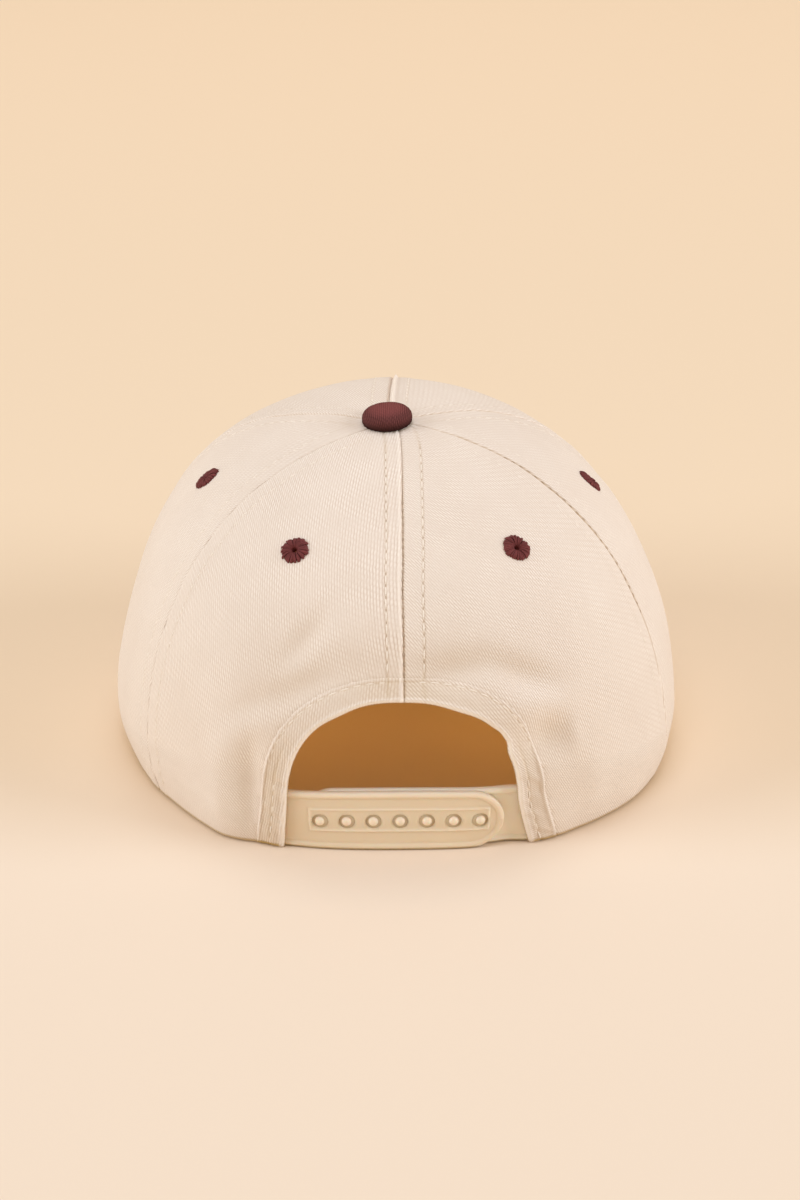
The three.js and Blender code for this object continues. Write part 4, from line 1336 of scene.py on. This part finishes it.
def band_grid(tail_x, tip_x, direction):
    """X, height and the distance from the band's edge at each point of its flat face."""
    radius = STRAP_HEIGHT / 2
    round_start = tip_x - direction * radius
    straight = np.linspace(tail_x, round_start, int(abs(round_start - tail_x) / STRAP_COLUMN))
    turn = np.radians(np.linspace(0, STRAP_TIP_TURN, STRAP_TIP_COLUMNS))[1:]
    x = np.concatenate([straight, round_start + direction * radius * np.sin(turn)])
    half = np.concatenate([radius + 0 * straight, radius * np.cos(turn)])
    if direction < 0:
        x, half = x[::-1], half[::-1]
    across = np.sin(np.linspace(1, -1, STRAP_ROWS) * math.pi / 2)
    height = radius + across[:, None] * half[None, :]
    x = x[None, :] + 0 * height
    beyond = np.maximum(0, direction * (x - round_start))
    edge = radius - np.hypot(beyond, height - radius)
    return x, height, edge


def band_relief(edge):
    """The rounded rim that runs round a band, with a shallow groove inside it."""
    round_share = 1 - np.clip(edge / STRAP_FRONT_ROUND, 0, 1)
    rounding = -STRAP_FRONT_ROUND * (1 - np.sqrt(np.maximum(0, 1 - round_share**2)))
    middle = STRAP_RIM / 2
    rim = STRAP_RIM_PROUD * np.sqrt(np.clip(1 - ((edge - middle) / middle) ** 2, 0, 1))
    return rounding + rim + bump(edge - STRAP_RIM, *STRAP_GROOVE)


def plate_inset(x, height):
    """How far inside the low plate's outline a place is."""
    return np.minimum(
        np.minimum(x - PLATE["left"], PLATE["right"] - x),
        np.minimum(height - PLATE["low"], PLATE["high"] - height),
    )


def plate_tone(x, height):
    """A painted highlight on the lip, with a fine painted shade outside it."""
    inside = plate_inset(x, height)
    return bump(inside, *PLATE_LIGHT) + bump(inside, *PLATE_SHADE)


def plate_relief(x, height):
    """The low plate along the middle and the lips round the holes."""
    inside = plate_inset(x, height)
    relief = PLATE["proud"] * smoothstep(inside, *PLATE["run"]) + bump(inside, *PLATE_LIP)
    for snap_x in snap_places()[0]:
        beyond = np.hypot(x - snap_x, height - STRAP_HEIGHT / 2) - SNAP_HOLE_RADIUS
        relief = relief + bump(beyond, *SNAP_LIP) + bump(beyond, *SNAP_FALL)
    return relief


def band_points(grid, depth_at, relief):
    x, height, edge = grid
    azimuth = place_on_back(x[0] * STRAP_SPREAD, STRAP_HEIGHT / 2)[0][None, :] + 0 * x
    depth = depth_at(azimuth)
    rounding = STRAP_BACK_ROUND["depth"] * np.clip(1 - edge / STRAP_BACK_ROUND["reach"], 0, 1) ** 2
    outer = strap_point(azimuth, height, depth - relief)
    inner = strap_point(azimuth, height, depth + STRAP_THICKNESS - rounding)
    return np.stack([outer, inner])


def band_tone(grid):
    """A painted highlight on the rounded rim that faces up, and painted shade where the band rests."""
    _, height, edge = grid
    up = height > STRAP_HEIGHT / 2
    rim = STRAP_RIM_LIGHT["tone"] * up * (1 - smoothstep(edge, *STRAP_RIM_LIGHT["run"]))
    rest = -STRAP_SHADE * (1 - smoothstep(height, *STRAP_SHADE_REACH))
    tone = rim + rest
    return np.stack([tone, 0 * tone])


def turned(profile, sides):
    """Points and faces of a solid turned about its own third axis, with both ends closed."""
    radius, height = np.array(profile).T[..., None]
    points = turned_points(radius, height, circle(sides))
    return points.reshape(-1, 3), tube_faces(1, len(profile), sides)


def at_snaps(points, faces):
    """Copies of a small solid, one at each snap."""
    _, places, outwards = snap_places()
    copies = [points @ frame_at(outward) + place for place, outward in zip(places, outwards)]
    shifts = [copy * len(points) for copy in range(SNAP_COUNT)]
    all_faces = [[shift + corner for corner in face] for shift in shifts for face in faces]
    return np.concatenate(copies), all_faces


def make_band(name, grid, depth_at, relief, tone, material):
    rows, columns = grid[0].shape
    points = band_points(grid, depth_at, relief)
    return make_piece(
        f"strap_band_{name}", points, grid_faces(columns - 1, rows - 1), material,
        tone=tone, replaces=[f"strap_{name}"], sharp=STRAP_SHARPNESS,
    )


def make_outer_strap():
    grid = band_grid(STRAP_TAIL_LEFT, STRAP_TIP_RIGHT, 1)
    relief = band_relief(grid[2]) + plate_relief(grid[0], grid[1])
    tone = band_tone(grid)
    tone[0] += plate_tone(grid[0], grid[1])
    strap = make_band("outer", grid, lambda azimuth: 0 * azimuth, relief, tone, outer_plastic)
    reach = 3 * STRAP_THICKNESS
    drill = turned([(SNAP_HOLE_RADIUS, -reach), (SNAP_HOLE_RADIUS, reach)], HOLE_SIDES)
    drills, drill_faces = at_snaps(*drill)
    cutter = add_mesh("snap_holes", in_metres(drills), drill_faces)
    cut = strap.modifiers.new("holes", "BOOLEAN")
    cut.operation = "DIFFERENCE"
    cut.solver = "EXACT"
    cut.object = cutter
    apply_modifiers(strap)
    bpy.data.objects.remove(cutter)
    strap.data.set_sharp_from_angle(angle=math.radians(STRAP_SHARPNESS))


def apply_modifiers(piece):
    depsgraph = bpy.context.evaluated_depsgraph_get()
    shaped = bpy.data.meshes.new_from_object(piece.evaluated_get(depsgraph))
    piece.modifiers.clear()
    piece.data = shaped


def make_inner_strap():
    behind = STRAP_THICKNESS + STRAP_GAP

    def depth_at(azimuth):
        return behind * (1 - smoothstep(azimuth, *STRAP_JOINS_CLOTH))

    grid = band_grid(STRAP_TAIL_RIGHT, STRAP_TIP_LEFT, -1)
    # The inner band is drawn in the lighter copy of the plastic, as painted light
    make_band("inner", grid, depth_at, band_relief(grid[2]), band_tone(grid), lit_inner_plastic)


def make_pegs():
    """The inner band's pegs, each a dome on a wider foot that fills the hole round it."""
    foot = -STRAP_THICKNESS - STRAP_GAP - STRAP_THICKNESS / 2
    profile = [
        (PEG_FOOT_RADIUS, foot),
        (COLLAR_RADIUS, foot + PEG_FOOT_BEVEL),
        (COLLAR_RADIUS, -COLLAR_DEPTH - COLLAR_BEVEL),
        (COLLAR_RADIUS - COLLAR_BEVEL, -COLLAR_DEPTH),
        (PEG_RADIUS + PEG_FILLET, -COLLAR_DEPTH),
        (PEG_RADIUS, COLLAR_BEVEL - COLLAR_DEPTH),
    ]
    dome_height = PEG_PROUD + PEG_DOME_BASE
    for turn in np.radians(np.linspace(*PEG_DOME_TURNS)):
        profile.append((PEG_RADIUS * math.cos(turn), dome_height * math.sin(turn) - PEG_DOME_BASE))
    points, faces = at_snaps(*turned(profile, PEG_SIDES))
    # Painted shade on each peg's collar and foot, in the ring round its dome
    shade = [PEG_SHADE if height < -PEG_DOME_BASE else 0 for _, height in profile]
    tone = np.tile(np.repeat(shade, PEG_SIDES), SNAP_COUNT)
    # The pegs are drawn in the lighter copy of the plastic, as painted highlight on their domes
    make_piece("strap_pegs", points, faces, lit_peg_plastic, tone=tone, sharp=STRAP_SHARPNESS)


# Brim


def brim_grid(across):
    """Flat places of the brim, from where it meets the crown, at 0 across, to its outer edge, at 1."""
    share = np.linspace(0, 1, BRIM_COLUMNS + 1)
    azimuth = BRIM_FIRST_AZIMUTH + (360 - 2 * BRIM_FIRST_AZIMUTH) * share
    root = crown_point(azimuth, 1 + 0 * azimuth) - BRIM_TUCK * crown_normal(azimuth, 1 + 0 * azimuth)
    turn = (0.5 - share) * math.pi
    forward = np.maximum(0, np.cos(turn)) ** (2 / BRIM_ROUNDNESS)
    edge_y = BRIM_CORNER_Y + (BRIM_REACH - BRIM_CORNER_Y) * forward
    edge_x = np.sign(turn) * brim_half_width(edge_y)
    reach = np.hypot(edge_x - root[:, 0], edge_y - root[:, 1])
    x = root[None, :, 0] + (edge_x - root[:, 0])[None, :] * across
    y = root[None, :, 1] + (edge_y - root[:, 1])[None, :] * across
    return x, y, reach


def make_brim():
    across = (1 - (1 - np.linspace(0, 1, BRIM_ACROSS + 1)) ** BRIM_CROWDING)[:, None]
    x, y, reach = brim_grid(across)
    edge = (1 - across) * reach[None, :]
    groove = 0
    for distance in BRIM_ROWS:
        groove = groove - BRIM_GROOVE["depth"] * bell(edge, distance, BRIM_GROOVE["width"])
    half = BRIM_THICKNESS / 2
    rounded = np.sqrt(np.maximum(0, 1 - np.clip(1 - edge / half, 0, 1) ** 2))
    middle = brim_underside(x, y) + half
    place = np.stack([x, y, middle], axis=-1)
    uneven = BRIM_LUMPS["depth"] * lumps(place, BRIM_LUMPS["size"], SEEDS["brim"])
    top = middle + rounded * (half + groove + uneven)
    bottom = middle - rounded * (half + groove)
    flat = np.stack([x, y], axis=-1)
    points = np.stack([np.stack([x, y, face], axis=-1) for face in (top, bottom)])
    make_piece(
        "brim_cloth", points, grid_faces(BRIM_COLUMNS, BRIM_ACROSS), raisin_twill,
        uv=np.stack([flat, flat]), replaces=["brim"], sharp=80,
    )
    paths = []
    for distance in BRIM_ROWS:
        share = 1 - distance / reach
        shown = share > BRIM_ROW_START
        row_x, row_y, _ = brim_grid(share[None, :])
        row_x, row_y = row_x[0][shown], row_y[0][shown]
        for face, up in ((BRIM_THICKNESS - BRIM_THREAD_SINK, 1), (BRIM_THREAD_SINK, -1)):
            height = brim_underside(row_x, row_y) + face
            outward = np.tile([0.0, 0.0, float(up)], (len(height), 1))
            paths.append((np.stack([row_x, row_y, height], axis=-1), outward))
    make_stitches("stitches_brim", paths, raisin_thread, STITCH)


# Surroundings


def make_floor():
    """A sheet of paper that lies flat and rises softly far behind."""
    y = np.linspace(-FLOOR_REACH, FLOOR_REACH, FLOOR_STATIONS)
    beyond = (np.maximum(y, FLOOR_BEND) - FLOOR_BEND) / (FLOOR_REACH - FLOOR_BEND)
    height = np.where(y > FLOOR_BEND, FLOOR_RISE * beyond**2, 0)
    points = [(x, py, pz) for py, pz in zip(y, height) for x in (-FLOOR_HALF_WIDTH, FLOOR_HALF_WIDTH)]
    faces = [(2 * row, 2 * row + 1, 2 * row + 3, 2 * row + 2) for row in range(len(y) - 1)]
    floor = add_mesh("floor", points, faces)
    floor.data.polygons.foreach_set("use_smooth", np.ones(len(faces), bool))
    floor.data.materials.append(floor_material())


def add_light(name, place, aim, size, power, colour):
    data = bpy.data.lights.new(name, "AREA")
    data.shape = "SQUARE"
    data.size = size
    data.energy = power
    data.color = colour
    light = add_to_scene(name, data)
    light.location = place
    light.rotation_euler = (Vector(aim) - Vector(place)).to_track_quat("-Z", "Y").to_euler()
    return light


def make_lights():
    """Soft lamps round the cap, and a warm glow inside it that stands for light through its cloth."""
    world = bpy.data.worlds.new("studio")
    world.use_nodes = True
    background = world.node_tree.nodes["Background"]
    background.inputs["Color"].default_value = SKY_COLOUR
    background.inputs["Strength"].default_value = SKY_STRENGTH
    bpy.context.scene.world = world
    for name, (place, size, power, colour) in LAMPS.items():
        add_light(name, place, LAMP_AIM, size, power, colour)
    for x in (-GLOW_X, GLOW_X):
        place, aim = (x, GLOW_Y, GLOW_HEIGHT), (x, GLOW_Y, 0)
        glow = add_light("inside", place, aim, GLOW_SIZE, GLOW_POWER, GLOW_COLOUR)
        glow.data.shape = "DISK"
        glow.visible_camera = False


def make_camera():
    data = bpy.data.cameras.new("camera")
    data.lens = CAMERA_LENS
    data.sensor_width = CAMERA_SENSOR
    camera = add_to_scene("camera", data)
    aim = Vector(CAMERA_AIM) * MM
    cos, sin = cos_sin(CAMERA_ELEVATION)
    back = Vector((0, -cos, sin)) * CAMERA_DISTANCE * MM
    camera.location = aim + back
    camera.rotation_euler = (-back).to_track_quat("-Z", "Y").to_euler()
    bpy.context.scene.camera = camera


for panel_place in PANELS:
    make_panel(panel_place)
make_seam_stitches()
make_hem()
for eyelet_seed, eyelet_place in enumerate(PANELS):
    make_eyelet(eyelet_place, SEEDS["eyelet"] + eyelet_seed)
make_button()
make_outer_strap()
make_inner_strap()
make_pegs()
make_brim()
make_floor()
make_lights()
make_camera()
bpy.context.scene.view_settings.view_transform = "Standard"
